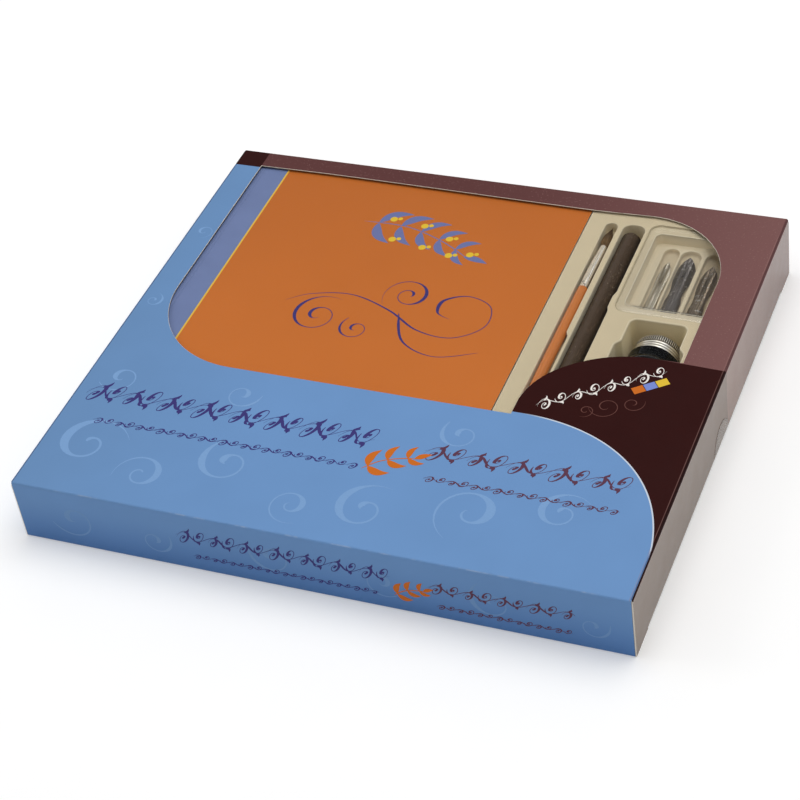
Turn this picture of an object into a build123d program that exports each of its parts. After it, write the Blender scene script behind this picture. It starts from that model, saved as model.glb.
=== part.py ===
"""Calligraphy set box: a windowed folding carton with its moulded tray and contents.

Millimetres. Origin at the centre of the underside, +X along the carton's length,
+Y towards its back edge, +Z up.
"""

from build123d import *
import math
import os

os.makedirs("parts", exist_ok=True)

# ---------------------------------------------------------------- carton sizes
box_length = 320.0
box_depth = 287.0
box_height = 37.0
board = 0.6
crease_radius = 0.9
hinge_gap = 0.05

end_x = box_length / 2
side_y = box_depth / 2
hinge_x = end_x - crease_radius
hinge_z = box_height - crease_radius
panel_end_x = end_x - board - hinge_gap
crease_y = side_y - crease_radius
inner_y = side_y - board
inner_top_z = box_height - board

# Window in the top panel: a rectangle with two round corners and, at its front
# right corner, a lobe of board with a leading edge of two tangent arcs.
window_left = -143.8
window_right = 137.6
window_back = 130.5
window_front = -37.6
window_back_corner = 48.0
window_front_corner = 56.0
lobe_x = 66.0
lobe_arc_start_y = -29.7
lobe_first_radius = 41.2
lobe_first_turn = 43.5
lobe_second_radius = 61.5

film_thickness = 0.2
film_left = -155.0
film_right = 150.0
film_front = -50.0
film_back = 141.0

glue_flap_width = 15.0
glue_flap_length = 300.0

# End panels, with a shoulder at each end of their lower edge.
end_panel_half = side_y - 0.2
end_bead_half = crease_y - 0.2
end_notch_depth = 0.8
shoulder_y = 125.5
shoulder_bottom = 0.3
tuck_axis_inset = 0.5
tuck_axis_z = 1.3
tuck_bead_radius = 0.5
tuck_flap_length = 14.0
tuck_flap_half = shoulder_y - 1.0
tuck_flap_tilt = 6.0
tuck_flap_corner = 8.0
end_panel_bottom = tuck_axis_z + tuck_bead_radius + hinge_gap

dust_flap_length = 62.0
dust_flap_bottom = 5.0
dust_flap_top = 35.0
dust_flap_drop = 2.0
dust_flap_rise = 9.0
dust_flap_corner = 5.0

seal_radius = 13.0
seal_thickness = 0.1
seal_y = 3.5

# ------------------------------------------------------------------ tray sizes
tray_top = 35.4
tray_sheet = 0.5
tray_length = 312.8
tray_depth = 282.6
tray_corner = 8.0
tray_bottom = 1.3
tray_draft = 1.5
tray_end_bottom = 4.6
tray_end_start = 144.0

# Wells: plan, corner radius, rim and floor heights, and draft of the walls in degrees.
book_well = dict(x=(-151.5, 55.6), y=(-135.5, 134.5), corner=2.0, rim=tray_top, floor=27.0, draft=2)
brush_well = dict(x=(65.7, 72.6), y=(-66.0, 122.6), corner=3.4, rim=tray_top, floor=29.4, draft=0)
brush_wide_well = dict(x=(65.9, 74.2), y=(-66.0, 27.0), corner=3.4, rim=tray_top, floor=29.4, draft=0)
pen_well = dict(x=(75.7, 88.1), y=(-72.0, 52.0), corner=3.0, rim=tray_top, floor=24.6, draft=0)
pen_neck_well = dict(x=(75.7, 87.1), y=(46.0, 70.0), corner=1.0, rim=tray_top, floor=24.6, draft=0)
pen_wide_well = dict(x=(75.7, 88.1), y=(63.0, 123.2), corner=5.0, rim=tray_top, floor=24.6, draft=0)
nib_rebate = dict(x=(90.0, 150.0), y=(51.7, 126.2), corner=6.0, rim=tray_top, floor=34.4, draft=0)
nib_recess = dict(x=(94.4, 146.0), y=(57.2, 119.7), corner=4.0, rim=34.4, floor=28.4, draft=3)
bottle_cap_well = dict(x=(101.9, 132.0), y=(15.0, 47.7), corner=3.0, rim=tray_top, floor=1.2, draft=1)
bottle_well = dict(x=(99.2, 135.2), y=(-26.0, 27.0), corner=4.0, rim=tray_top, floor=1.2, draft=1)

nib_slot_floor = 25.4
nib_slot_front = 58.4
nib_slot_back = 116.0

# -------------------------------------------------------------- contents sizes
cover_sheet = 0.3
cover_flange_inset = 0.3
cover_plug_inset = 0.8
cover_plug_floor = 31.3

book_left = -150.0
book_right = 54.8
book_half_height = 133.0
book_bottom = 27.1
book_thickness = 8.1
book_cover_sheet = 0.3
book_page_inset = 0.5

brush_x = 69.15
brush_z = 32.4
brush_handle_radius = 2.95
brush_neck_radius = 2.8
brush_tail_radius = 1.3
brush_tail_y = -60.0
brush_belly_y = 10.0
ferrule_front_y = 67.9
ferrule_back_y = 104.4
ferrule_shoulder_y = 86.0
ferrule_front_radius = 2.85
ferrule_shoulder_radius = 2.7
ferrule_back_radius = 1.8
ferrule_wall = 0.25
ferrule_crimps = (70.2, 72.6)
tenon_length = 12.0
tenon_clearance = 0.05

strand_count = 300
strand_root_y = 103.3
strand_belly_y = 109.5
strand_tip_y = 122.0
strand_root_spread = 1.35
strand_belly_spread = 2.6
strand_tip_spread = 0.3
strand_shortening = 6.5
strand_share = 0.042
backing_radius = 1.48
backing_thickness = 0.5

pen_x = 81.15
pen_z = 29.95
pen_radius = 5.3
pen_front_y = -54.0
pen_back_y = 118.3
pen_front_radius = 4.2
pen_taper_length = 26.0
socket_radius = 3.5
socket_wall = 0.35
socket_length = 24.0
socket_depth = 12.0

# Each nib: name, centre, half widths of tail, waist and shoulder, point, slot half width.
nib_sheet = 0.3
nib_curve_radius = 6.5
nib_tail_y = 62.5
nib_arch_base = 25.55
nib_kinds = (
    dict(name="left_nib", x=104.6, tail=3.2, waist=2.6, shoulder=3.0, point=106.3, slot=4.2),
    dict(name="middle_nib", x=115.4, tail=4.3, waist=3.5, shoulder=5.0, point=110.3, slot=5.5),
    dict(name="right_nib", x=128.8, tail=4.0, waist=3.3, shoulder=4.5, point=106.3, slot=5.5),
)
nib_waist_setback = 29.0
nib_shoulder_setback = 17.0
nib_tail_setback = 35.0
nib_vent_radius = 0.7
nib_slit = 0.12

bottle_x = 117.1
bottle_z = 17.7
bottle_radius = 16.4
bottle_base_y = -22.0
bottle_wall = 1.8
bottle_base_corner = 2.2
shoulder_start_y = 20.5
collar_radius = 14.3
collar_y = (26.4, 33.4)
neck_radius = 10.3
neck_end_y = 42.0
mouth_radius = 7.6
ink_clearance = 0.05
ink_level = 30.6

cap_bore_radius = 11.3
cap_open_y = 34.0
cap_inner_y = 43.0
cap_end_y = 44.3
cap_ring_radius = 13.2
cap_ring_end_y = 35.6
cap_waist_radius = 12.5
cap_waist_end_y = 37.2
cap_grip_radius = 12.9
cap_grip_end_y = 43.2
cap_grip_flutes = 72
cap_edge_radius = 12.2
liner_radius = 10.9
liner_y = (42.15, 42.95)


# ------------------------------------------------------------------ the carton
def sleeve_wall(start_x, centre, size):
    """The stretch of the sleeve's folded wall that lies inside a rectangle of its section."""
    with BuildSketch(Plane.YZ.offset(start_x)) as wall:
        with Locations((0, box_height / 2)):
            RectangleRounded(box_depth, box_height, crease_radius)
            RectangleRounded(
                box_depth - 2 * board,
                box_height - 2 * board,
                crease_radius - board,
                mode=Mode.SUBTRACT,
            )
        with Locations(centre):
            Rectangle(*size, mode=Mode.INTERSECT)
    return wall.sketch


with BuildPart() as carton_top_panel:
    top_wall = sleeve_wall(-hinge_x, (0, hinge_z), (2 * crease_y, 2 * crease_radius))
    extrude(top_wall, amount=2 * hinge_x)
    with BuildSketch(Plane.XY.offset(box_height)) as window:
        with BuildLine():
            first_centre = Vector(lobe_x + lobe_first_radius, lobe_arc_start_y)
            lobe_turn_end = 180 - lobe_first_turn
            outward = Vector(1, 0).rotate(Axis.Z, lobe_turn_end)
            second_centre = first_centre + outward * (lobe_first_radius - lobe_second_radius)
            lobe_top_y = second_centre.Y + lobe_second_radius
            Line((window_left + window_front_corner, window_front), (lobe_x, window_front))
            Line((lobe_x, window_front), (lobe_x, lobe_arc_start_y))
            CenterArc(first_centre, lobe_first_radius, 180, -lobe_first_turn)
            CenterArc(second_centre, lobe_second_radius, lobe_turn_end, 90 - lobe_turn_end)
            Line((second_centre.X, lobe_top_y), (window_right, lobe_top_y))
            Line((window_right, lobe_top_y), (window_right, window_back - window_back_corner))
            CenterArc(
                (window_right - window_back_corner, window_back - window_back_corner),
                window_back_corner,
                0,
                90,
            )
            Line((window_right - window_back_corner, window_back), (window_left, window_back))
            Line((window_left, window_back), (window_left, window_front + window_front_corner))
            CenterArc(
                (window_left + window_front_corner, window_front + window_front_corner),
                window_front_corner,
                180,
                90,
            )
        make_face()
    extrude(amount=-2 * board, mode=Mode.SUBTRACT)
    # Hollow edges in which the rounded creases of the end panels turn.
    with BuildSketch(Plane.XZ.offset(side_y)):
        with Locations((-hinge_x, hinge_z), (hinge_x, hinge_z)):
            Circle(crease_radius + hinge_gap)
    extrude(amount=-box_depth, mode=Mode.SUBTRACT)
carton_top_panel.part.label = "carton_top_panel"
export_step(carton_top_panel.part, "parts/carton_top_panel.step")

with BuildPart() as carton_bottom_panel:
    bottom_wall = sleeve_wall(-panel_end_x, (0, 0), (2 * crease_y, 2 * crease_radius))
    extrude(bottom_wall, amount=2 * panel_end_x)
carton_bottom_panel.part.label = "carton_bottom_panel"
export_step(carton_bottom_panel.part, "parts/carton_bottom_panel.step")

# The front and back panels carry the four long rounded creases of the sleeve.
for edge, direction in (("front", -1), ("back", 1)):
    with BuildPart() as carton_side_panel:
        side_centre = (direction * side_y, box_height / 2)
        side_wall = sleeve_wall(-panel_end_x, side_centre, (2 * crease_radius, box_height))
        extrude(side_wall, amount=2 * panel_end_x)
    carton_side_panel.part.label = f"carton_{edge}_panel"
    export_step(carton_side_panel.part, f"parts/carton_{edge}_panel.step")

with BuildPart() as carton_glue_flap:
    with BuildSketch(Plane.XY.offset(board)):
        with BuildLine():
            Polyline(
                (-glue_flap_length / 2, crease_y),
                (glue_flap_length / 2, crease_y),
                (glue_flap_length / 2 - glue_flap_width, crease_y - glue_flap_width),
                (glue_flap_width - glue_flap_length / 2, crease_y - glue_flap_width),
                close=True,
            )
        make_face()
    extrude(amount=board)
carton_glue_flap.part.label = "carton_glue_flap"
export_step(carton_glue_flap.part, "parts/carton_glue_flap.step")

with BuildPart() as window_film:
    with BuildSketch(Plane.XY.offset(inner_top_z)):
        with Locations(((film_left + film_right) / 2, (film_front + film_back) / 2)):
            Rectangle(film_right - film_left, film_back - film_front)
    extrude(amount=-film_thickness)
window_film.part.label = "window_film"
export_step(window_film.part, "parts/window_film.step")

for end, side in (("right", 1), ("left", -1)):
    # The end panel hangs from a rounded crease along the top edge of the carton.
    with BuildPart() as end_panel:
        with BuildSketch(Plane.YZ.offset(side * (end_x - board))):
            with BuildLine():
                half_outline = [
                    (0, end_panel_bottom),
                    (shoulder_y, end_panel_bottom),
                    (shoulder_y, shoulder_bottom),
                    (end_panel_half, shoulder_bottom),
                    (end_panel_half, hinge_z - end_notch_depth),
                    (end_bead_half, hinge_z - end_notch_depth),
                    (end_bead_half, hinge_z),
                    (0, hinge_z),
                ]
                Polyline(*half_outline)
                mirror(about=Plane.YZ)
            make_face()
        extrude(amount=side * board)
        with BuildSketch(Plane.XZ.offset(end_bead_half)):
            with Locations((side * hinge_x, hinge_z)):
                Circle(crease_radius)
        extrude(amount=-2 * end_bead_half)
    end_panel.part.label = f"{end}_end_panel"
    export_step(end_panel.part, f"parts/{end}_end_panel.step")

    # The tuck flap turns on its own crease and lies inside, just above the bottom panel.
    tuck_axis_x = side * (end_x - tuck_axis_inset)
    with BuildPart() as tuck_flap:
        with BuildSketch(Plane.XZ.offset(tuck_flap_half)):
            with Locations((tuck_axis_x, tuck_axis_z)):
                Circle(tuck_bead_radius)
            with Locations(Location((tuck_axis_x, tuck_axis_z), 90 + side * (90 - tuck_flap_tilt))):
                Rectangle(tuck_flap_length, board, align=(Align.MIN, Align.CENTER))
        extrude(amount=-2 * tuck_flap_half)
        with BuildSketch(Plane.XY):
            with Locations((tuck_axis_x, 0)):
                RectangleRounded(2 * tuck_flap_length, 2 * tuck_flap_half, tuck_flap_corner)
            with Locations((tuck_axis_x, 0)):
                Rectangle(tuck_flap_length, 2 * tuck_flap_half)
        extrude(amount=box_height, mode=Mode.INTERSECT)
    tuck_flap.part.label = f"{end}_tuck_flap"
    export_step(tuck_flap.part, f"parts/{end}_tuck_flap.step")

    # Dust flaps fold in behind the end panel from the front and back panels.
    for edge, direction in (("front", 1), ("back", -1)):
        with BuildPart() as dust_flap:
            with BuildSketch(Plane.YZ.offset(side * panel_end_x)):
                with BuildLine():
                    Polyline(
                        (-direction * inner_y, dust_flap_bottom),
                        (-direction * inner_y, dust_flap_top),
                        (direction * (dust_flap_length - inner_y), dust_flap_top - dust_flap_drop),
                        (direction * (dust_flap_length - inner_y), dust_flap_bottom + dust_flap_rise),
                        close=True,
                    )
                make_face()
            extrude(amount=-side * board)
            tip_edges = dust_flap.edges().filter_by(Axis.X).sort_by(Axis.Y, reverse=direction > 0)[:2]
            fillet(tip_edges, dust_flap_corner)
        dust_flap.part.label = f"{end}_{edge}_dust_flap"
        export_step(dust_flap.part, f"parts/{end}_{edge}_dust_flap.step")

# Clear round seal, slit along the carton's lower edge: its upper part stays on the panel.
with BuildPart() as round_seal:
    with BuildSketch(Plane.YZ.offset(end_x)):
        with Locations((seal_y, 0)):
            Circle(seal_radius)
        with Locations((seal_y, end_panel_bottom)):
            Rectangle(2 * seal_radius, seal_radius, align=(Align.CENTER, Align.MIN), mode=Mode.INTERSECT)
    extrude(amount=seal_thickness)
round_seal.part.label = "round_seal"
export_step(round_seal.part, "parts/round_seal.step")


# -------------------------------------------------------------------- the tray
def well_outline(well, grow, height):
    """A well's rounded rectangle at a height, grown by a margin on all sides."""
    (left, right), (front, back) = well["x"], well["y"]
    with BuildSketch(Plane.XY.offset(height)) as outline:
        with Locations(((left + right) / 2, (front + back) / 2)):
            RectangleRounded(right - left + 2 * grow, back - front + 2 * grow, well["corner"] + grow)
    return outline.sketch


nib_slots = [
    dict(
        x=(kind["x"] - kind["slot"], kind["x"] + kind["slot"]),
        y=(nib_slot_front, nib_slot_back),
        corner=kind["slot"] - 0.1,
        rim=nib_recess["floor"],
        floor=nib_slot_floor,
        draft=0,
    )
    for kind in nib_kinds
]
pen_wells = [brush_well, brush_wide_well, pen_well, pen_neck_well, pen_wide_well]
wells = [book_well, *pen_wells, nib_rebate, nib_recess, *nib_slots, bottle_cap_well, bottle_well]

with BuildPart() as moulded_tray:
    with BuildSketch(Plane.XY.offset(tray_top)):
        RectangleRounded(tray_length, tray_depth, tray_corner)
    extrude(amount=tray_bottom - tray_top, taper=-tray_draft)
    with BuildSketch(Plane.XY.offset(tray_top - tray_sheet)):
        RectangleRounded(tray_length - 2 * tray_sheet, tray_depth - 2 * tray_sheet, tray_corner - tray_sheet)
    extrude(amount=-tray_top, taper=-tray_draft, mode=Mode.SUBTRACT)
    for end_side in (-1, 1):
        with Locations((end_side * tray_end_start, 0, 0)):
            end_align = Align.MIN if end_side > 0 else Align.MAX
            Box(
                end_x,
                box_depth,
                2 * tray_end_bottom,
                align=(end_align, Align.CENTER, Align.CENTER),
                mode=Mode.SUBTRACT,
            )
    # Each well is a cup under the sheet, then the space inside that cup.
    for well in wells:
        add(well_outline(well, tray_sheet, well["rim"] - tray_sheet / 2))
        extrude(amount=well["floor"] - well["rim"] - tray_sheet / 2, taper=well["draft"])
    for well in wells:
        add(well_outline(well, 0, well["rim"]))
        extrude(amount=well["floor"] - well["rim"], taper=well["draft"], mode=Mode.SUBTRACT)
moulded_tray.part.label = "moulded_tray"
export_step(moulded_tray.part, "parts/moulded_tray.step")

# Clear cover: a flange in the rebate and a shallow plug that sits inside the recess.
with BuildPart() as nib_cover:
    add(well_outline(nib_rebate, -cover_flange_inset, nib_rebate["floor"] + hinge_gap))
    extrude(amount=cover_sheet)
    add(well_outline(nib_recess, -cover_plug_inset, cover_plug_floor))
    extrude(amount=nib_rebate["floor"] + hinge_gap + cover_sheet - cover_plug_floor)
    add(well_outline(nib_recess, -cover_plug_inset - cover_sheet, cover_plug_floor + cover_sheet))
    extrude(amount=nib_rebate["floor"], mode=Mode.SUBTRACT)
nib_cover.part.label = "nib_cover"
export_step(nib_cover.part, "parts/nib_cover.step")

# -------------------------------------------------------------------- the book
book_top = book_bottom + book_thickness
book_centre_z = book_bottom + book_thickness / 2
with BuildPart() as book_cover:
    with BuildSketch(Plane.XZ.offset(book_half_height)):
        with Locations(((book_left + book_right) / 2, book_centre_z)):
            Rectangle(book_right - book_left, book_thickness)
        with Locations((book_left + book_cover_sheet, book_centre_z)):
            Rectangle(
                book_right - book_left,
                book_thickness - 2 * book_cover_sheet,
                align=(Align.MIN, Align.CENTER),
                mode=Mode.SUBTRACT,
            )
    extrude(amount=-2 * book_half_height)
    spine_edges = book_cover.edges().filter_by(Axis.Y).group_by(Axis.X)[0]
    fillet(spine_edges, book_cover_sheet - 0.05)
book_cover.part.label = "book_cover"
export_step(book_cover.part, "parts/book_cover.step")

with BuildPart() as book_pages:
    with BuildSketch(Plane.XZ.offset(book_half_height - book_page_inset)):
        with Locations((book_left + book_cover_sheet + hinge_gap, book_centre_z)):
            Rectangle(
                book_right - book_left - book_cover_sheet - book_page_inset,
                book_thickness - 2 * book_cover_sheet - 2 * hinge_gap,
                align=(Align.MIN, Align.CENTER),
            )
    extrude(amount=2 * book_page_inset - 2 * book_half_height)
book_pages.part.label = "book_pages"
export_step(book_pages.part, "parts/book_pages.step")


# ------------------------------------------------------- brush and pen holder
def turning_plane(x, z):
    """The plane in which a turned piece's half profile is drawn: along Y, then radius."""
    return Plane(origin=(x, 0, z), x_dir=(0, 1, 0), z_dir=(1, 0, 0))


def turning_axis(x, z):
    """The axis, along Y, about which a turned piece is revolved."""
    return Axis((x, 0, z), (0, 1, 0))


def ferrule_radius(y):
    """Outer radius of the tapered ferrule at a place along its length."""
    if y < ferrule_shoulder_y:
        share = (y - ferrule_front_y) / (ferrule_shoulder_y - ferrule_front_y)
        return ferrule_front_radius + share * (ferrule_shoulder_radius - ferrule_front_radius)
    share = (y - ferrule_shoulder_y) / (ferrule_back_y - ferrule_shoulder_y)
    return ferrule_shoulder_radius + share * (ferrule_back_radius - ferrule_shoulder_radius)


tenon_end_y = ferrule_front_y + tenon_length
tenon_inset = ferrule_wall + tenon_clearance
with BuildPart() as brush_handle:
    with BuildSketch(turning_plane(brush_x, brush_z)):
        with BuildLine():
            tail_tip = (brush_tail_y - brush_tail_radius, 0)
            tail_edge = (brush_tail_y, brush_tail_radius)
            neck = (ferrule_front_y - hinge_gap, brush_neck_radius)
            RadiusArc(tail_tip, tail_edge, brush_tail_radius)
            Spline(tail_edge, (brush_belly_y, brush_handle_radius), neck)
            Polyline(
                neck,
                (ferrule_front_y - hinge_gap, ferrule_front_radius - tenon_inset),
                (tenon_end_y, ferrule_radius(tenon_end_y) - tenon_inset),
                (tenon_end_y, 0),
                tail_tip,
            )
        make_face()
    revolve(axis=turning_axis(brush_x, brush_z))
brush_handle.part.label = "brush_handle"
export_step(brush_handle.part, "parts/brush_handle.step")

with BuildPart() as brush_ferrule:
    with BuildSketch(turning_plane(brush_x, brush_z)):
        with BuildLine():
            Polyline(
                (ferrule_front_y, ferrule_front_radius - ferrule_wall),
                (ferrule_front_y, ferrule_front_radius),
                (ferrule_shoulder_y, ferrule_shoulder_radius),
                (ferrule_back_y, ferrule_back_radius),
                (ferrule_back_y, ferrule_back_radius - ferrule_wall),
                (ferrule_shoulder_y, ferrule_shoulder_radius - ferrule_wall),
                close=True,
            )
        make_face()
        # Crimped rings that grip the handle.
        for crimp_y in ferrule_crimps:
            with Locations((crimp_y, ferrule_radius(crimp_y))):
                Circle(ferrule_wall / 2)
    revolve(axis=turning_axis(brush_x, brush_z))
brush_ferrule.part.label = "brush_ferrule"
export_step(brush_ferrule.part, "parts/brush_ferrule.step")


def bundle_spread(y):
    """Radius of the bristle bundle at a place along its length."""
    if y < strand_belly_y:
        share = (y - strand_root_y) / (strand_belly_y - strand_root_y)
        return strand_root_spread + share * (strand_belly_spread - strand_root_spread)
    share = (y - strand_belly_y) / (strand_tip_y - strand_belly_y)
    return strand_belly_spread + share * (strand_tip_spread - strand_belly_spread)


def strand_section(y, share, turn):
    """Three-sided section of one strand, which keeps its place as the bundle swells and closes."""
    spread = bundle_spread(y)
    centre_x = brush_x + spread * share * math.cos(turn)
    centre_z = brush_z + spread * share * math.sin(turn)
    corners = [
        (
            centre_x + spread * strand_share * math.cos(turn + corner * 2 * math.pi / 3),
            y,
            centre_z + spread * strand_share * math.sin(turn + corner * 2 * math.pi / 3),
        )
        for corner in range(3)
    ]
    return Wire.make_polygon([Vector(*corner) for corner in corners])


golden_turn = math.pi * (3 - math.sqrt(5))
strands = []
for number in range(strand_count):
    share = math.sqrt((number + 0.5) / strand_count)
    turn = number * golden_turn
    tip_y = strand_tip_y - strand_shortening * share**2
    sections = [strand_section(y, share, turn) for y in (strand_root_y, strand_belly_y, tip_y)]
    strands.append(Solid.make_loft(sections, ruled=True))

with BuildPart() as brush_bristles:
    with BuildSketch(Plane.XZ.offset(-strand_root_y)):
        with Locations((brush_x, brush_z)):
            Circle(backing_radius)
    extrude(amount=backing_thickness, both=True)
    add(strands, clean=False)
brush_bristles.part.label = "brush_bristles"
export_step(brush_bristles.part, "parts/brush_bristles.step")

with BuildPart() as pen_holder:
    with BuildSketch(turning_plane(pen_x, pen_z)):
        with BuildLine():
            dome_start = (pen_back_y - pen_radius / 2, pen_radius)
            dome_tip = (pen_back_y, 0)
            Line((pen_front_y + pen_taper_length, pen_radius), dome_start)
            EllipticalCenterArc((dome_start[0], 0), pen_radius / 2, pen_radius, start_angle=0, arc_size=90)
            Polyline(
                dome_tip,
                (pen_front_y, 0),
                (pen_front_y, pen_front_radius),
                (pen_front_y + pen_taper_length, pen_radius),
            )
        make_face()
        with Locations((pen_front_y, 0)):
            Rectangle(
                socket_depth + hinge_gap,
                socket_radius + hinge_gap,
                align=(Align.MIN, Align.MIN),
                mode=Mode.SUBTRACT,
            )
    revolve(axis=turning_axis(pen_x, pen_z))
pen_holder.part.label = "pen_holder"
export_step(pen_holder.part, "parts/pen_holder.step")

with BuildPart() as pen_nib_socket:
    with BuildSketch(turning_plane(pen_x, pen_z)):
        with Locations((pen_front_y + socket_depth, socket_radius)):
            Rectangle(socket_length, socket_wall, align=(Align.MAX, Align.MAX))
    revolve(axis=turning_axis(pen_x, pen_z))
pen_nib_socket.part.label = "pen_nib_socket"
export_step(pen_nib_socket.part, "parts/pen_nib_socket.step")

# -------------------------------------------------------------------- the nibs
for kind in nib_kinds:
    point_y = kind["point"]
    widest = max(kind["tail"], kind["shoulder"])
    curve_z = nib_arch_base - math.sqrt((nib_curve_radius - nib_sheet) ** 2 - widest**2)
    with BuildPart() as nib:
        with BuildSketch(Plane.XZ.offset(-nib_tail_y)):
            with Locations((kind["x"], curve_z)):
                Circle(nib_curve_radius)
                Circle(nib_curve_radius - nib_sheet, mode=Mode.SUBTRACT)
                Rectangle(
                    2 * widest,
                    nib_curve_radius,
                    align=(Align.CENTER, Align.MIN),
                    mode=Mode.INTERSECT,
                )
        extrude(amount=nib_tail_y - point_y)
        # Plan of the nib: straight tail, waist, wide shoulder and point.
        with BuildSketch(Plane.XY):
            with BuildLine():
                tail_corner = (kind["x"] + kind["tail"], nib_tail_y)
                tail_end = (kind["x"] + kind["tail"], point_y - nib_tail_setback)
                waist = (kind["x"] + kind["waist"], point_y - nib_waist_setback)
                shoulder = (kind["x"] + kind["shoulder"], point_y - nib_shoulder_setback)
                point = (kind["x"] + nib_slit, point_y)
                Line(tail_corner, tail_end)
                Spline(tail_end, waist, shoulder, point)
                Line(point, (kind["x"], point_y))
                mirror(about=Plane(origin=(kind["x"], 0, 0), z_dir=(1, 0, 0)))
                Line(tail_corner, (kind["x"] - kind["tail"], nib_tail_y))
            make_face()
        extrude(amount=box_height, mode=Mode.INTERSECT)
        # Slit from the vent hole to the point.
        vent_y = point_y - nib_shoulder_setback
        with BuildSketch(Plane.XY):
            with Locations((kind["x"], vent_y)):
                Circle(nib_vent_radius)
                Rectangle(nib_slit, nib_shoulder_setback - 1, align=(Align.CENTER, Align.MIN))
        extrude(amount=box_height, mode=Mode.SUBTRACT)
    nib.part.label = kind["name"]
    export_step(nib.part, f"parts/{kind['name']}.step")

# -------------------------------------------------------------- the ink bottle
collar_start_y, collar_end_y = collar_y
inner_radius = bottle_radius - bottle_wall

with BuildPart() as ink_bottle:
    with BuildSketch(turning_plane(bottle_x, bottle_z)):
        with BuildLine():
            Line((bottle_base_y, 0), (bottle_base_y, bottle_radius - bottle_base_corner))
            RadiusArc(
                (bottle_base_y, bottle_radius - bottle_base_corner),
                (bottle_base_y + bottle_base_corner, bottle_radius),
                bottle_base_corner,
            )
            Line((bottle_base_y + bottle_base_corner, bottle_radius), (shoulder_start_y, bottle_radius))
            TangentArc((shoulder_start_y, bottle_radius), (collar_start_y, collar_radius), tangent=(1, 0))
            Polyline(
                (collar_start_y, collar_radius),
                (collar_end_y, collar_radius),
                (collar_end_y, neck_radius),
                (neck_end_y, neck_radius),
                (neck_end_y, mouth_radius),
                (collar_start_y, mouth_radius),
                (shoulder_start_y, inner_radius),
                (bottle_base_y + bottle_wall, inner_radius),
                (bottle_base_y + bottle_wall, 0),
                (bottle_base_y, 0),
            )
        make_face()
    revolve(axis=turning_axis(bottle_x, bottle_z))
ink_bottle.part.label = "ink_bottle"
export_step(ink_bottle.part, "parts/ink_bottle.step")

# The ink lies level in the bottle, which is on its side.
with BuildPart() as ink_fill:
    with BuildSketch(turning_plane(bottle_x, bottle_z)):
        with BuildLine():
            Polyline(
                (bottle_base_y + bottle_wall + ink_clearance, 0),
                (bottle_base_y + bottle_wall + ink_clearance, inner_radius - ink_clearance),
                (shoulder_start_y - ink_clearance, inner_radius - ink_clearance),
                (collar_start_y, mouth_radius - ink_clearance),
                (neck_end_y - ink_clearance, mouth_radius - ink_clearance),
                (neck_end_y - ink_clearance, 0),
                close=True,
            )
        make_face()
    revolve(axis=turning_axis(bottle_x, bottle_z))
    split(bisect_by=Plane.XY.offset(ink_level), keep=Keep.BOTTOM)
ink_fill.part.label = "ink_fill"
export_step(ink_fill.part, "parts/ink_fill.step")

with BuildPart() as ink_bottle_cap:
    with BuildSketch(turning_plane(bottle_x, bottle_z)):
        with BuildLine():
            Polyline(
                (cap_open_y, cap_bore_radius),
                (cap_open_y, cap_ring_radius),
                (cap_ring_end_y, cap_ring_radius),
                (cap_ring_end_y, cap_waist_radius),
                (cap_waist_end_y, cap_waist_radius),
                (cap_grip_end_y, cap_waist_radius),
                (cap_end_y, cap_edge_radius - (cap_end_y - cap_grip_end_y)),
                (cap_end_y, 0),
                (cap_inner_y, 0),
                (cap_inner_y, cap_bore_radius),
                close=True,
            )
        make_face()
    revolve(axis=turning_axis(bottle_x, bottle_z))
    # Fluted grip.
    with BuildSketch(Plane.XZ.offset(-cap_waist_end_y)):
        with Locations((bottle_x, bottle_z)):
            RegularPolygon(cap_grip_radius, cap_grip_flutes)
            Circle(cap_waist_radius - hinge_gap, mode=Mode.SUBTRACT)
    extrude(amount=cap_waist_end_y - cap_grip_end_y)
ink_bottle_cap.part.label = "ink_bottle_cap"
export_step(ink_bottle_cap.part, "parts/ink_bottle_cap.step")

with BuildPart() as ink_cap_liner:
    with BuildSketch(Plane.XZ.offset(-liner_y[0])):
        with Locations((bottle_x, bottle_z)):
            Circle(liner_radius)
    extrude(amount=liner_y[0] - liner_y[1])
ink_cap_liner.part.label = "ink_cap_liner"
export_step(ink_cap_liner.part, "parts/ink_cap_liner.step")
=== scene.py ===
"""Calligraphy set box: the looks of a windowed carton with its tray and writing tools.

Metres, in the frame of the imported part: origin at the centre of the underside, +X along
the carton's length, +Y towards its back edge, +Z up.
"""

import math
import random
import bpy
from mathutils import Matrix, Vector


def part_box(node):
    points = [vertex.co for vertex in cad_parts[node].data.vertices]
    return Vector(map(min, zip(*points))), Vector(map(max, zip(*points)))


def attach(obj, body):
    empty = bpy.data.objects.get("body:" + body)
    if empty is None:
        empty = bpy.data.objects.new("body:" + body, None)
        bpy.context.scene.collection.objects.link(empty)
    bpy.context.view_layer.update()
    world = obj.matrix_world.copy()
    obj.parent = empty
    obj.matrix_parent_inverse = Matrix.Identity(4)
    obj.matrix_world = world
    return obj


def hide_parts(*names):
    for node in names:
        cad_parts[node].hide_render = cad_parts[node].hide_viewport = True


bl_info = {
    "name": "Calligraphy Set Box",
    "version": (1, 0, 0),
    "blender": (4, 5, 0),
    "location": "View3D > Sidebar > Set Box",
    "description": "Dresses a windowed carton of writing tools with its print, tray and contents",
    "category": "Object",
}

import bmesh
import bpy
from bpy.props import FloatProperty, FloatVectorProperty, IntProperty, PointerProperty
from mathutils import Matrix, Vector

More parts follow.
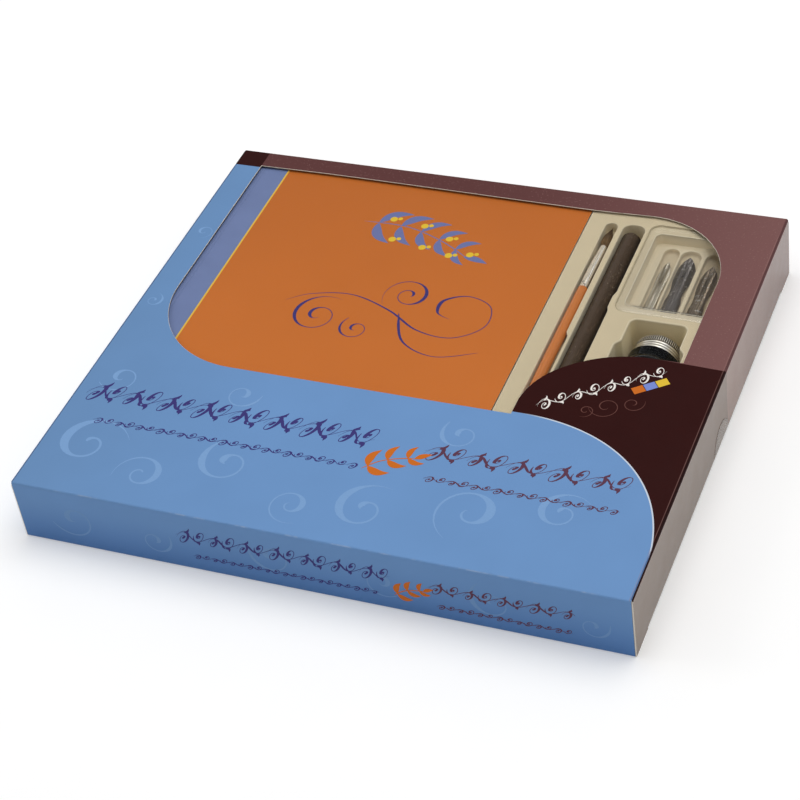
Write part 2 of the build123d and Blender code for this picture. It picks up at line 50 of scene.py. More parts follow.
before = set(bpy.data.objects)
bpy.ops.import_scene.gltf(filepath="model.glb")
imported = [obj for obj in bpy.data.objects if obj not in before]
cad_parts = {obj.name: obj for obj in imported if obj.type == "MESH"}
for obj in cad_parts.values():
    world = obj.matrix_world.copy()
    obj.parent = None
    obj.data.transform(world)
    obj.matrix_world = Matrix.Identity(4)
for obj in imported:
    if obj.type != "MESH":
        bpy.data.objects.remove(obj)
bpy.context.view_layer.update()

MM = 0.001

# ------------------------------------------------------------- sizes from the frame
top_low, top_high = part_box("carton_top_panel")
top_end_x, crease_y, top_z = top_high
board = top_z - top_low.z
side_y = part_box("carton_back_panel")[1].y
crease_radius = side_y - crease_y
end_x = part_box("right_end_panel")[1].x
hinge_x, hinge_z = end_x - crease_radius, top_z - crease_radius
book_low, book_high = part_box("book_cover")
tray_top_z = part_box("moulded_tray")[1].z

# Window in the top: straight sides, two round corners and a lobe of two tangent arcs.
WINDOW_LEFT, WINDOW_RIGHT = -143.8 * MM, 137.6 * MM
WINDOW_FRONT, WINDOW_BACK = -37.6 * MM, 130.5 * MM
WINDOW_BACK_CORNER, WINDOW_FRONT_CORNER = 48.0 * MM, 56.0 * MM
LOBE_X, LOBE_ARC_Y = 66.0 * MM, -29.7 * MM
LOBE_RADII = (41.2 * MM, 61.5 * MM)
LOBE_TURN = math.radians(43.5)

# Print: where the blue ends on the top, the edges of the maroon fields, and how sharp an edge is.
PRINT_CORNER_Y = -130.0 * MM
PRINT_EDGE_Y = -36.0 * MM
PRINT_ROUNDNESS = 2.25
PRINT_LINE = 0.7 * MM
HAIRLINE = 0.02 * MM
BAND_Y = 129.0 * MM
LOBE_EDGE_Y = 17.8 * MM
LOBE_EDGE_X = 121.9 * MM
LOBE_EDGE_SLOPE = -0.034


def srgb(red, green, blue):
    """A colour of three 0-255 screen values, as Blender's linear values."""
    shares = (red / 255, green / 255, blue / 255)
    return tuple(s / 12.92 if s <= 0.04045 else ((s + 0.055) / 1.055) ** 2.4 for s in shares)


# ---------------------------------------------------------------- what a user sets
def colour(name, description, *screen):
    """A colour setting, whose default is given as three 0-255 screen values."""
    return FloatVectorProperty(
        name=name, description=description, subtype="COLOR", size=3, min=0, max=1, default=srgb(*screen)
    )


def measure(name, description, default):
    """A length setting."""
    return FloatProperty(name=name, description=description, default=default, subtype="DISTANCE")


class CartonSettings(bpy.types.PropertyGroup):
    """Print and board of the carton."""

    blue: colour("Blue", "Blue field of the print", 109, 149, 199)
    dark: colour("Dark maroon", "Lobe and corner of the print", 47, 9, 7)
    band: colour("Light maroon", "Band along the back and the right", 93, 56, 55)
    line: colour("Line", "Thin line round the blue field", 206, 214, 226)
    core: colour("Board core", "Cut edge of the board", 236, 228, 214)
    inside: colour("Board inside", "Uncoated inner face of the board", 205, 202, 196)
    bow: measure("Bow", "How far the middle of an end panel sinks in", 0.12 * MM)


class TraySettings(bpy.types.PropertyGroup):
    """The moulded tray and the clear cover over the nibs."""

    flock: colour("Flock", "Velvety face of the tray", 203, 188, 157)
    rim: measure("Rim radius", "Rounding of the book well's rim", 0.9 * MM)


class BookSettings(bpy.types.PropertyGroup):
    """The softcover book."""

    cover: colour("Cover", "Field of the cover", 203, 113, 45)
    spine: colour("Spine", "Strip along the spine", 112, 128, 172)
    stripe: colour("Stripe", "Thin stripe beside the spine", 228, 186, 70)
    pages: colour("Pages", "Edges of the pages", 226, 220, 206)


class ToolSettings(bpy.types.PropertyGroup):
    """Brush, pen holder, nibs and ink."""

    lacquer: colour("Lacquer", "Handle of the brush", 196, 112, 42)
    hair: colour("Hair", "Bristles", 84, 60, 36)
    wood: colour("Wood", "Stained pen holder", 62, 47, 32)
    steel: colour("Blued steel", "Middle nib", 110, 104, 102)
    steel_grey: colour("Grey steel", "Left nib", 204, 196, 180)
    # The right nib's tone is its brown steel, darkened partly as painted shade of the board's edge over its
    # slot.
    steel_brown: colour("Brown steel", "Right nib", 120, 105, 88)
    cap: colour("Cap", "Turned aluminium of the cap", 236, 231, 220)
    strands: IntProperty(name="Strands", description="Strands in the brush", default=620, min=300)


class PrintSettings(bpy.types.PropertyGroup):
    """Inks of the ornaments."""

    violet: colour("Violet", "Pen strokes on the blue", 62, 56, 118)
    plum: colour("Plum", "Second pen strokes", 94, 58, 78)
    pale: colour("Pale blue", "Large pale swirls", 124, 162, 208)
    pale_front: colour("Pale blue, front", "Pale swirls on the front", 112, 150, 196)
    faint: colour("Faint maroon", "Thin curls on the lobe", 104, 66, 60)
    sprig_blue: colour("Sprig blue", "Leaves on the book", 110, 118, 168)
    white: colour("White", "Pen strokes on the lobe", 238, 232, 226)
    orange: colour("Orange", "Sprigs", 204, 108, 34)
    lozenge_blue: colour("Lozenge blue", "Blue lozenge", 122, 140, 210)
    yellow: colour("Yellow", "Yellow lozenge and berries", 226, 190, 58)


SETTINGS = {
    "carton": CartonSettings,
    "tray": TraySettings,
    "book": BookSettings,
    "tools": ToolSettings,
    "inks": PrintSettings,
}


def settings(group):
    """The scene's settings of one group."""
    return getattr(bpy.context.scene, "set_box_" + group)


# ------------------------------------------------------------------------ materials
# Painted light on round bars: where the painted shade on the flanks starts, how softly, and how soft and
# strong the painted highlight along them is.
FLANK_START, FLANK_SOFT = 0.8, 0.2
STREAK_SOFT, STREAK_SHARE = 0.14, 0.8
# How strongly each finer layer of a noise shows.
NOISE_GRIT = 0.55


class Finish:
    """A material being wired up, with short calls for the nodes that it is made of."""

    def __init__(self, name, base, roughness, **sockets):
        self.material = bpy.data.materials.new(name)
        self.material.use_nodes = True
        self.tree = self.material.node_tree
        self.shader = self.tree.nodes["Principled BSDF"]
        self.shader.inputs["Base Color"].default_value = (*base, 1)
        self.shader.inputs["Roughness"].default_value = roughness
        self.sockets(**sockets)
        self.place = self.node("ShaderNodeTexCoord").outputs["Object"]
        split = self.node("ShaderNodeSeparateXYZ", {0: self.place})
        self.x, self.y, self.z = split.outputs

    def sockets(self, **values):
        """Sets sockets of the shader, named with _ for each space."""
        for socket, value in values.items():
            self.shader.inputs[socket.replace("_", " ")].default_value = value

    def node(self, kind, inputs=None, **values):
        """Adds a node, sets its values and feeds its inputs with sockets or numbers."""
        made = self.tree.nodes.new(kind)
        for key, value in values.items():
            setattr(made, key, value)
        for key, value in (inputs or {}).items():
            if isinstance(value, bpy.types.NodeSocket):
                self.tree.links.new(value, made.inputs[key])
            else:
                made.inputs[key].default_value = value
        return made

    def calc(self, operation, first, second=0.0):
        """One step of arithmetic."""
        return self.node("ShaderNodeMath", {0: first, 1: second}, operation=operation).outputs[0]

    def above(self, value, edge, soft=HAIRLINE):
        """A mask that goes from 0 to 1 where a value passes an edge, over a soft width."""
        inputs = {0: value, 1: edge - soft, 2: edge + soft, 3: 0.0, 4: 1.0}
        return self.node("ShaderNodeMapRange", inputs, interpolation_type="SMOOTHSTEP").outputs[0]

    def below(self, value, edge, soft=HAIRLINE):
        """The mask the other way round."""
        return self.calc("SUBTRACT", 1.0, self.above(value, edge, soft))

    def between(self, value, low, high, soft=HAIRLINE):
        """A mask that is 1 from a low edge to a high one."""
        return self.both(self.above(value, low, soft), self.below(value, high, soft))

    def both(self, first, *others):
        """Where all of two or more masks hold; a number weakens a mask."""
        for mask in others:
            first = self.calc("MULTIPLY", first, mask)
        return first

    def over(self, corners, margin=2 * MM):
        """Where the box round an outline lies, with a soft edge."""
        across, along = [corner[0] for corner in corners], [corner[1] for corner in corners]
        within = self.between(self.x, min(across), max(across), margin)
        return self.both(within, self.between(self.y, min(along), max(along), margin))

    def either(self, first, second):
        """Where one mask or the other holds."""
        return self.calc("MAXIMUM", first, second)

    def stretched(self, x=1.0, y=1.0, z=1.0):
        """Object coordinates scaled along each axis, for patterns with a grain."""
        return self.node("ShaderNodeMapping", {0: self.place, 3: (x, y, z)}).outputs[0]

    def noise(self, size, detail=3.0, place=None):
        """Cloudy noise whose features are about one size across."""
        inputs = {"Vector": place or self.place, "Scale": 1 / size, "Detail": detail, "Roughness": NOISE_GRIT}
        return self.node("ShaderNodeTexNoise", inputs).outputs[0]

    def spots(self, size, share):
        """Small round specks, a share of the cell's size across."""
        cells = self.node("ShaderNodeTexVoronoi", {"Vector": self.place, "Scale": 1 / size})
        return self.below(cells.outputs["Distance"], share, 0.05)

    def past(self, value, place):
        """How far a value is past a place, and 0 before it."""
        return self.calc("MAXIMUM", self.calc("SUBTRACT", value, place), 0.0)

    def away(self, value, place):
        """How far a value is from a place, on either side."""
        return self.calc("ABSOLUTE", self.calc("SUBTRACT", value, place))

    def length(self, across, up):
        """The length of a line that goes so far across and so far up."""
        squares = self.calc("ADD", self.calc("MULTIPLY", across, across), self.calc("MULTIPLY", up, up))
        return self.calc("SQRT", squares)

    def reach(self, axis):
        """Distance from an axis along Y, given as (x, z)."""
        return self.length(self.calc("SUBTRACT", self.x, axis[0]), self.calc("SUBTRACT", self.z, axis[1]))

    def lit_round(self, base, axis_x, radius, streak, width, light, shade):
        """A polished round bar's colour with painted light: a soft painted highlight along it, and painted
        shade on its flanks.

        The streak's place and width are shares of the radius.
        """
        across = self.calc("DIVIDE", self.calc("SUBTRACT", self.x, axis_x), radius)
        flanks = self.above(self.calc("ABSOLUTE", across), FLANK_START, FLANK_SOFT)
        lit = self.both(self.below(self.away(across, streak), width, STREAK_SOFT), STREAK_SHARE)
        return self.mix(lit, self.mix(flanks, base, shade), light)

    def mix(self, factor, first, second, blend="MIX"):
        """A mix of two colours."""
        made = self.node("ShaderNodeMix", data_type="RGBA", blend_type=blend)
        for key, value in ((0, factor), (6, first), (7, second)):
            if isinstance(value, bpy.types.NodeSocket):
                self.tree.links.new(value, made.inputs[key])
            else:
                made.inputs[key].default_value = value if key == 0 else (*value[:3], 1)
        return made.outputs[2]

    def shaded(self, base, share, value):
        """A colour that varies by a share, darker and lighter, as a 0-1 value does."""
        light = self.calc("ADD", self.calc("MULTIPLY", value, 2 * share), 1 - share)
        factors = self.node("ShaderNodeCombineColor", {0: light, 1: light, 2: light}).outputs[0]
        return self.mix(1.0, base, factors, "MULTIPLY")

    def tinted(self, mask, base, factors):
        """A colour that is multiplied by three factors where a mask holds."""
        return self.mix(mask, base, self.mix(1.0, base, factors, "MULTIPLY"))

    def paint(self, base):
        """Feeds the base colour."""
        self.tree.links.new(base, self.shader.inputs["Base Color"])

    def painted(self):
        """What feeds the base colour so far."""
        return self.shader.inputs["Base Color"].links[0].from_socket

    def rough(self, low, high, value):
        """Roughness that follows a 0-1 value between two levels."""
        made = self.node("ShaderNodeMapRange", {0: value, 1: 0.0, 2: 1.0, 3: low, 4: high})
        self.tree.links.new(made.outputs[0], self.shader.inputs["Roughness"])

    def bump(self, height, depth, strength=1.0):
        """Relief of a depth in metres; a second call adds to the first."""
        before = self.shader.inputs["Normal"].links
        inputs = {"Height": height, "Distance": depth, "Strength": strength}
        if before:
            inputs["Normal"] = before[0].from_socket
        made = self.node("ShaderNodeBump", inputs)
        self.tree.links.new(made.outputs[0], self.shader.inputs["Normal"])


def grained(name, base, roughness, share, size, detail=3.0, grain=None, rough=None, relief=0.0, **sockets):
    """A finish whose colour varies by a share with one noise, which may also shape its gloss and relief."""
    finish = Finish(name, base, roughness, **sockets)
    noise = finish.noise(size, detail, finish.stretched(*grain) if grain else None)
    finish.paint(finish.shaded(base, share, noise))
    if rough:
        finish.rough(*rough, noise)
    if relief:
        finish.bump(noise, relief)
    return finish


def print_fields(finish):
    """The colours of the carton's print at each place: blue, dark maroon, light maroon and the line."""
    group = settings("carton")
    across = finish.past(finish.x, LOBE_X)
    along = finish.past(finish.y, PRINT_CORNER_Y)
    reach = 0.0
    for offset, extent in ((across, end_x - LOBE_X), (along, PRINT_EDGE_Y - PRINT_CORNER_Y)):
        part = finish.calc("POWER", finish.calc("DIVIDE", offset, extent), PRINT_ROUNDNESS)
        reach = finish.calc("ADD", part, reach)
    gauge = finish.calc("POWER", reach, 1 / PRINT_ROUNDNESS)
    # Distance from the blue field's edge, measured along the line to its corner.
    span = finish.length(across, along)
    off_edge = finish.away(span, finish.calc("DIVIDE", span, finish.calc("MAXIMUM", gauge, 0.01)))
    on_top = finish.above(finish.z, 1.0 * MM)
    right_half = finish.above(finish.x, LOBE_X - 40 * MM)
    outside = finish.both(finish.above(gauge, 1.0, 0.0003), on_top, right_half)
    back = finish.above(finish.y, BAND_Y)
    right_end = finish.above(finish.x, hinge_x + 0.2 * MM)
    maroon = finish.either(finish.either(outside, back), right_end)
    lobe_edge = finish.calc("MULTIPLY", finish.calc("SUBTRACT", finish.x, LOBE_EDGE_X), LOBE_EDGE_SLOPE)
    behind_lobe = finish.above(finish.calc("SUBTRACT", finish.y, lobe_edge), LOBE_EDGE_Y)
    banded = finish.both(behind_lobe, finish.above(finish.x, WINDOW_LEFT))
    dark = finish.shaded(group.dark, 0.12, finish.noise(9 * MM))
    maroons = finish.mix(banded, dark, band_of_maroon(finish))
    colours = finish.mix(maroon, field_of_blue(finish), maroons)
    near = finish.both(finish.below(off_edge, PRINT_LINE / 2), finish.above(gauge, 0.5))
    on_lid = finish.both(finish.above(finish.z, top_z - 0.4 * MM), finish.below(finish.x, hinge_x))
    line = finish.both(near, on_lid, finish.above(finish.x, LOBE_X + 12 * MM, 10 * MM))
    # A thin lighter line along the right end's crease, broken by noise: painted highlight of the crease, with
    # the varnish worn through along it.
    creased = finish.between(finish.x, top_end_x - 0.6 * MM, top_end_x - 0.2 * MM, 0.1 * MM)
    crease_highlight_and_wear = finish.both(creased, on_lid, finish.above(finish.noise(25 * MM, 3.0), 0.42, 0.1), 0.36)
    return finish.mix(line, finish.mix(crease_highlight_and_wear, colours, srgb(160, 122, 116)), group.line)


def flap_fields(finish):
    """The flaps' print: blue at the left end, maroon at the right one."""
    dark = finish.shaded(settings("carton").dark, 0.12, finish.noise(9 * MM))
    return finish.mix(finish.above(finish.x, 0.0), field_of_blue(finish), dark)


def field_of_blue(finish):
    """The blue field, with soft clouds in its tone, and painted shade lower down the front panel."""
    group = settings("carton")
    blue = finish.shaded(group.blue, 0.06, finish.noise(38 * MM, 2.0))
    on_lid = finish.above(finish.z, 36 * MM, 0.9 * MM)
    far_left = finish.both(finish.below(finish.x, -110 * MM, 70 * MM), on_lid)
    blue = finish.tinted(far_left, blue, (0.92, 0.90, 0.87))
    on_front = finish.below(finish.y, -side_y + 0.3 * MM)
    # Painted shade: the front panel darkens towards its bottom.
    front_shade = finish.both(on_front, finish.below(finish.z, 14 * MM, 17 * MM))
    return finish.tinted(front_shade, blue, (0.60, 0.70, 0.83))


def band_of_maroon(finish):
    """The light maroon, warmer and paler towards the right, with the fine specks of a screened print."""
    group = settings("carton")
    towards_right = finish.above(finish.x, 90 * MM, 110 * MM)
    band = finish.mix(towards_right, group.band, srgb(124, 86, 84))
    band = finish.shaded(band, 0.10, finish.noise(0.9 * MM, 2.0))
    specks = finish.both(finish.spots(1.6 * MM, 0.16), finish.noise(3 * MM))
    return finish.mix(specks, band, srgb(148, 114, 108))


def printed_board(name, outer, print_of=print_fields):
    """Printed board: print where outer(finish) holds, and the uncoated inside and cut edges elsewhere."""
    group = settings("carton")
    finish = Finish(name, group.blue, 0.34, Specular_IOR_Level=0.08)
    fields = print_of(finish)
    fibres = finish.noise(0.35 * MM, 4.0, finish.stretched(1.0, 0.25, 1.0))
    worn = finish.both(worn_creases(finish), finish.above(finish.noise(7 * MM, 6.0), 0.58, 0.10))
    fields = finish.mix(worn, fields, finish.mix(0.2, fields, group.core))
    plain = finish.shaded(group.inside, 0.06, fibres)
    finish.paint(finish.mix(outer(finish), plain, fields))
    finish.rough(0.32, 0.46, finish.noise(14 * MM, 3.0))
    finish.bump(finish.noise(0.22 * MM, 3.0), 0.006 * MM)
    finish.bump(finish.noise(60 * MM, 1.0), 0.5 * MM, 0.35)
    return finish


def worn_creases(finish):
    """Narrow stretches along the carton's long creases and corners, where the print rubs off."""
    high = finish.above(finish.z, top_z - 0.45 * MM, 0.3 * MM)
    far = finish.above(finish.calc("ABSOLUTE", finish.y), side_y - 0.5 * MM, 0.3 * MM)
    return finish.both(high, far)


def sleeve_outside(finish):
    """Outer skin of the sleeve's rounded section, as a mask."""
    half = top_z / 2
    over_y = finish.past(finish.calc("ABSOLUTE", finish.y), crease_y)
    over_z = finish.past(finish.away(finish.z, half), half - crease_radius)
    return finish.above(finish.length(over_y, over_z), crease_radius - 0.06 * MM)


def flap_outside(finish):
    """Printed side of the dust flaps, which faces the carton's end."""
    return finish.above(finish.calc("ABSOLUTE", finish.x), end_x - board - 0.1 * MM)


def tuck_outside(finish):
    """Printed side of the tuck flaps, which faces down and wraps their crease."""
    low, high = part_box("right_tuck_flap")
    inward = finish.calc("SUBTRACT", high.x - board, finish.calc("ABSOLUTE", finish.x))
    rise = (high.z - low.z - board) / (high.x - low.x - board)
    skin = finish.calc("ADD", finish.calc("MULTIPLY", inward, rise), low.z + 0.3 * board)
    return finish.below(finish.calc("SUBTRACT", finish.z, skin), 0.0)


def raw_board(name, base, size, shade_depth=None):
    """Uncoated board: its cut edge or its inside, with short fibres, and, if a depth is given, painted shade
    on a cut edge below that depth under the top.
    """
    finish = grained(
        name, base, 0.85, 0.10, size, 5.0, grain=(1.0, 0.3, 1.0), relief=0.03 * MM, Specular_IOR_Level=0.2
    )
    if shade_depth is not None:
        # Painted shade on the lower part of a cut edge, from a depth below the top.
        below = finish.below(finish.z, top_z - shade_depth, 0.1 * MM)
        finish.paint(finish.mix(below, finish.painted(), srgb(132, 116, 98)))
    return finish.material


# Share of the light that clear plastic mirrors head on, and its tint.
CLEAR_MIRROR = 0.04
CLEAR_TINT = (0.99, 0.99, 0.985)
# Size of the fibres on the board's cut edge and on its inside.
CORE_FIBRES, INSIDE_FIBRES = 0.2 * MM, 0.4 * MM


def clear_sheet(name, shine, tint, cloud, dull_past=None):
    """Thin clear plastic: what is behind shows through, and it mirrors more at a glancing angle.

    Past a place along Y, if one is given, it hardly mirrors.
    """
    finish = Finish(name, tint, 0.06)
    finish.tree.nodes.remove(finish.shader)
    through = finish.node("ShaderNodeBsdfTransparent", {0: (*tint, 1)}).outputs[0]
    ripple = finish.noise(26 * MM, 2.0)
    bumped = finish.node("ShaderNodeBump", {"Height": ripple, "Distance": 0.35 * MM, "Strength": 0.4})
    mirror = finish.node(
        "ShaderNodeBsdfGlossy", {"Roughness": 0.07, "Color": (1, 1, 1, 1), "Normal": bumped.outputs[0]}
    )
    facing = finish.node("ShaderNodeLayerWeight", {"Blend": 0.5}).outputs["Facing"]
    grazing = finish.calc("MULTIPLY", finish.calc("POWER", facing, 5.0), 1 - CLEAR_MIRROR)
    edge = finish.calc("ADD", grazing, CLEAR_MIRROR)
    haze = finish.calc("MULTIPLY", finish.noise(11 * MM, 3.0), cloud)
    amount = finish.calc("ADD", finish.calc("MULTIPLY", edge, shine), haze)
    if dull_past is not None:
        dull = finish.both(finish.above(finish.y, dull_past, 0.4 * MM), 0.85)
        amount = finish.calc("MULTIPLY", amount, finish.calc("SUBTRACT", 1.0, dull))
    blended = finish.node("ShaderNodeMixShader", {0: amount, 1: through, 2: mirror.outputs[0]})
    output = finish.tree.nodes["Material Output"]
    finish.tree.links.new(blended.outputs[0], output.inputs["Surface"])
    return finish.material


def dress(node, material):
    """Gives a CAD node its material."""
    give(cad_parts[node], material)


def give(piece, *materials):
    """Gives a piece these materials alone."""
    piece.data.materials.clear()
    for material in materials:
        piece.data.materials.append(material)


# ------------------------------------------------------------------ modelling helpers
def clear_selection():
    """Leaves edit mode and deselects everything."""
    if bpy.context.mode != "OBJECT":
        bpy.ops.object.mode_set(mode="OBJECT")
    bpy.ops.object.select_all(action="DESELECT")


def take(piece):
    """Makes a piece the only selected and active one."""
    clear_selection()
    piece.select_set(True)
    bpy.context.view_layer.objects.active = piece
    return piece


def edit(piece, action="DESELECT"):
    """Opens a piece in edit mode with nothing selected, or with all of it."""
    take(piece)
    bpy.ops.object.mode_set(mode="EDIT")
    bpy.ops.mesh.select_all(action=action)


def choose(piece, kind, test):
    """In edit mode, selects the verts, edges or faces whose centre passes a test, and only those."""
    shape = bmesh.from_edit_mesh(piece.data)
    for element in (*shape.faces, *shape.edges, *shape.verts):
        element.select_set(False)
    modes = {"verts": (True, False, False), "edges": (False, True, False), "faces": (False, False, True)}
    bpy.context.tool_settings.mesh_select_mode = modes[kind]
    found = 0
    for element in getattr(shape, kind):
        if test(element):
            element.select_set(True)
            found += 1
    bmesh.update_edit_mesh(piece.data)
    if not found:
        raise RuntimeError(f"nothing of {piece.name} was selected")


def middle(element):
    """The centre of a vertex, edge or face."""
    if isinstance(element, bmesh.types.BMVert):
        return element.co
    if isinstance(element, bmesh.types.BMEdge):
        return (element.verts[0].co + element.verts[1].co) / 2
    return element.calc_center_median()


def new_piece(name):
    """Names the primitive just added and gives it back."""
    piece = bpy.context.object
    piece.name = piece.data.name = name
    return piece


def joined(name, parts):
    """Several objects made one."""
    take(parts[0])
    if len(parts) > 1:
        for part in parts:
            part.select_set(True)
        bpy.ops.object.join()
    return new_piece(name)


def outline(name, loops, height):
    """A flat face between closed outlines: circle primitives whose vertices are moved to the outlines."""
    rings = []
    for points in loops:
        clear_selection()
        bpy.ops.mesh.primitive_circle_add(vertices=len(points), fill_type="NOTHING")
        ring = bpy.context.object
        for vertex, (x, y) in zip(ring.data.vertices, points):
            vertex.co = (x, y, height)
        rings.append(ring)
    piece = joined(name, rings)
    edit(piece, "SELECT")
    bpy.ops.mesh.fill(use_beauty=True)
    bpy.ops.mesh.select_all(action="SELECT")
    bpy.ops.mesh.normals_make_consistent(inside=False)
    bpy.ops.object.mode_set(mode="OBJECT")
    if piece.data.polygons[0].normal.z < 0:
        piece.data.flip_normals()
    return piece


def slices(piece, axis, places):
    """Cuts a piece across, at each place along an axis, so that it can bend there."""
    edit(piece)
    for place in places:
        point, normal = Vector(), Vector()
        point[axis], normal[axis] = place, 1.0
        bpy.ops.mesh.select_all(action="SELECT")
        bpy.ops.mesh.bisect(plane_co=point, plane_no=normal)
    bpy.ops.object.mode_set(mode="OBJECT")


def evenly(low, high, count):
    """The places that divide a length into a count of equal parts, with both its ends."""
    return [low + (high - low) * step / count for step in range(count + 1)]


def cuts(low, high, count):
    """The places between the ends that divide a length into a count of equal parts."""
    return evenly(low, high, count)[1:-1]


def thicken(piece, thickness, **values):
    """Gives a sheet its thickness, behind its face."""
    take(piece)
    modifier = piece.modifiers.new("Solidify", "SOLIDIFY")
    for key, value in {"thickness": thickness, "offset": -1.0, **values}.items():
        setattr(modifier, key, value)
    bpy.ops.object.modifier_apply(modifier=modifier.name)


def smooth(piece, degrees=35.0):
    """Smooth shading, with edges sharper than an angle kept crisp."""
    take(piece)
    bpy.ops.object.shade_smooth_by_angle(angle=math.radians(degrees))


def merged(piece, distance=0.004 * MM):
    """Merges doubled vertices and turns the faces outwards."""
    edit(piece, "SELECT")
    bpy.ops.mesh.remove_doubles(threshold=distance)
    bpy.ops.mesh.delete_loose()
    bpy.ops.mesh.select_all(action="SELECT")
    bpy.ops.mesh.normals_make_consistent(inside=False)
    bpy.ops.object.mode_set(mode="OBJECT")


def finished(piece, materials, body, slot, *nodes):
    """Puts the origin at the world's, gives materials if there are any, and fixes the piece to its body."""
    take(piece)
    bpy.ops.object.transform_apply(location=True, rotation=True, scale=True)
    if materials:
        give(piece, *materials)
    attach(piece, body)
    if nodes:
        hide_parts(*nodes)


def arc(centre, radius, start, turn, steps):
    """Points along an arc, without its last one; angles in radians."""
    cx, cy = centre
    angles = (start + turn * step / steps for step in range(steps))
    return [(cx + radius * math.cos(a), cy + radius * math.sin(a)) for a in angles]


def turned(name, profile, centre, steps):
    """A turned piece: a closed half section, as (place along Y, radius), spun about an axis along Y."""
    clear_selection()
    bpy.ops.mesh.primitive_circle_add(vertices=len(profile), fill_type="NOTHING")
    piece = new_piece(name)
    cx, cz = centre
    for vertex, (along, radius) in zip(piece.data.vertices, profile):
        vertex.co = (cx + radius, along, cz)
    edit(piece, "SELECT")
    bpy.ops.mesh.spin(steps=steps, angle=2 * math.pi, center=(cx, 0, cz), axis=(0, 1, 0))
    bpy.ops.object.mode_set(mode="OBJECT")
    merged(piece)
    return piece


def link(piece):
    """Puts an object into the scene."""
    bpy.context.scene.collection.objects.link(piece)


def copied(node, name):
    """A merged copy of a CAD node's mesh, to be shaped further."""
    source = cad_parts[node]
    piece = bpy.data.objects.new(name, source.data.copy())
    piece.data.name = name
    link(piece)
    give(piece)
    merged(piece)
    return piece


# --------------------------------------------------------------------------- stage
class SETBOX_OT_stage(bpy.types.Operator):
    """Set up the pale floor, the studio light and the camera"""

    bl_idname = "set_box.stage"
    bl_label = "Stage"

    def execute(self, context):
        scene = context.scene
        scene.view_settings.view_transform = "Standard"
        clear_selection()
        bpy.ops.mesh.primitive_plane_add(size=FLOOR_SIZE)
        floor = new_piece("floor")
        give(floor, floor_material())
        light_world(scene)
        for name, place, size, power in STUDIO_LIGHTS:
            add_light(name, Vector(place), size, power)
        add_camera(scene)
        return {"FINISHED"}


# Each light: its name, place, edge length and power.
STUDIO_LIGHTS = (
    ("overhead_light", (0.25, 0.35, 1.75), 1.5, 17.8),
    ("side_light", (-1.5, -0.2, 1.1), 0.8, 3.7),
)
AMBIENT = 0.46
# The floor's size and tone, and what it is lifted by where it is seen.
FLOOR_SIZE, FLOOR_TONE, FLOOR_LIFT = 14, (0.88, 0.88, 0.88), 0.2
# What metal and glass see: the room's height from which it dims, to which it dims, and how far.
DIM_FROM, DIM_TO, DIM_LEVEL = 0.12, 0.5, 0.30
CAMERA_PLACE = (0.39448, -0.78922, 0.76649)
CAMERA_AIM = (0.00857, -0.04098, 0.037)
CAMERA_ROLL = math.radians(-9.2525)
CAMERA_LENS = 100.52


def floor_material():
    """Pale floor that keeps a soft shadow and is white where it is fully lit."""
    finish = grained("floor_paper", FLOOR_TONE, 0.9, 0.01, 40 * MM, Specular_IOR_Level=0.0)
    rays = finish.node("ShaderNodeLightPath").outputs
    mirrored = finish.either(rays["Is Glossy Ray"], rays["Is Transmission Ray"])
    seen = finish.either(rays["Is Camera Ray"], mirrored)
    lift = finish.node("ShaderNodeEmission", {"Strength": finish.calc("MULTIPLY", seen, FLOOR_LIFT)})
    total = finish.node("ShaderNodeAddShader", {0: finish.shader.outputs[0], 1: lift.outputs[0]})
    finish.tree.links.new(total.outputs[0], finish.tree.nodes["Material Output"].inputs["Surface"])
    return finish.material


def light_world(scene):
    """A white backdrop as the camera, metal and glass see it, dimmer overhead, over even soft light."""
    world = bpy.data.worlds.new("studio")
    scene.world = world
    world.use_nodes = True
    nodes, links = world.node_tree.nodes, world.node_tree.links
    background = nodes["Background"]
    background.inputs["Color"].default_value = (1, 1, 1, 1)
    rays = nodes.new("ShaderNodeLightPath").outputs
    split = nodes.new("ShaderNodeSeparateXYZ")
    links.new(nodes.new("ShaderNodeTexCoord").outputs["Generated"], split.inputs[0])
    height = nodes.new("ShaderNodeMapRange")
    links.new(split.outputs["Z"], height.inputs[0])
    for key, value in ((1, DIM_FROM), (2, DIM_TO), (3, 1.0), (4, DIM_LEVEL)):
        height.inputs[key].default_value = value
    mirrored = nodes.new("ShaderNodeMath")
    mirrored.operation = "MAXIMUM"
    links.new(rays["Is Glossy Ray"], mirrored.inputs[0])
    links.new(rays["Is Transmission Ray"], mirrored.inputs[1])
    strength = AMBIENT
    for mask, level in ((mirrored.outputs[0], height.outputs[0]), (rays["Is Camera Ray"], 1.0)):
        choice = nodes.new("ShaderNodeMix")
        links.new(mask, choice.inputs[0])
        for key, value in ((2, strength), (3, level)):
            if isinstance(value, bpy.types.NodeSocket):
                links.new(value, choice.inputs[key])
            else:
                choice.inputs[key].default_value = value
        strength = choice.outputs[0]
    links.new(strength, background.inputs["Strength"])


def add_light(name, place, size, power):
    """A square soft light that faces the object."""
    clear_selection()
    bpy.ops.object.light_add(type="AREA", location=place)
    lamp = bpy.context.object
    lamp.name = lamp.data.name = name
    lamp.data.size = size
    lamp.data.energy = power
    lamp.rotation_euler = (-place).to_track_quat("-Z", "Y").to_euler()


def add_camera(scene):
    """The camera at the photograph's viewing angle."""
    clear_selection()
    bpy.ops.object.camera_add(location=CAMERA_PLACE)
    camera = bpy.context.object
    camera.name = camera.data.name = "camera"
    camera.data.sensor_width = 36
    camera.data.lens = CAMERA_LENS
    camera.data.clip_start, camera.data.clip_end = 0.01, 50
    forward = Vector(CAMERA_AIM) - Vector(CAMERA_PLACE)
    turn = forward.to_track_quat("-Z", "Y").to_matrix() @ Matrix.Rotation(CAMERA_ROLL, 3, "Z")
    camera.rotation_euler = turn.to_euler()
    scene.camera = camera


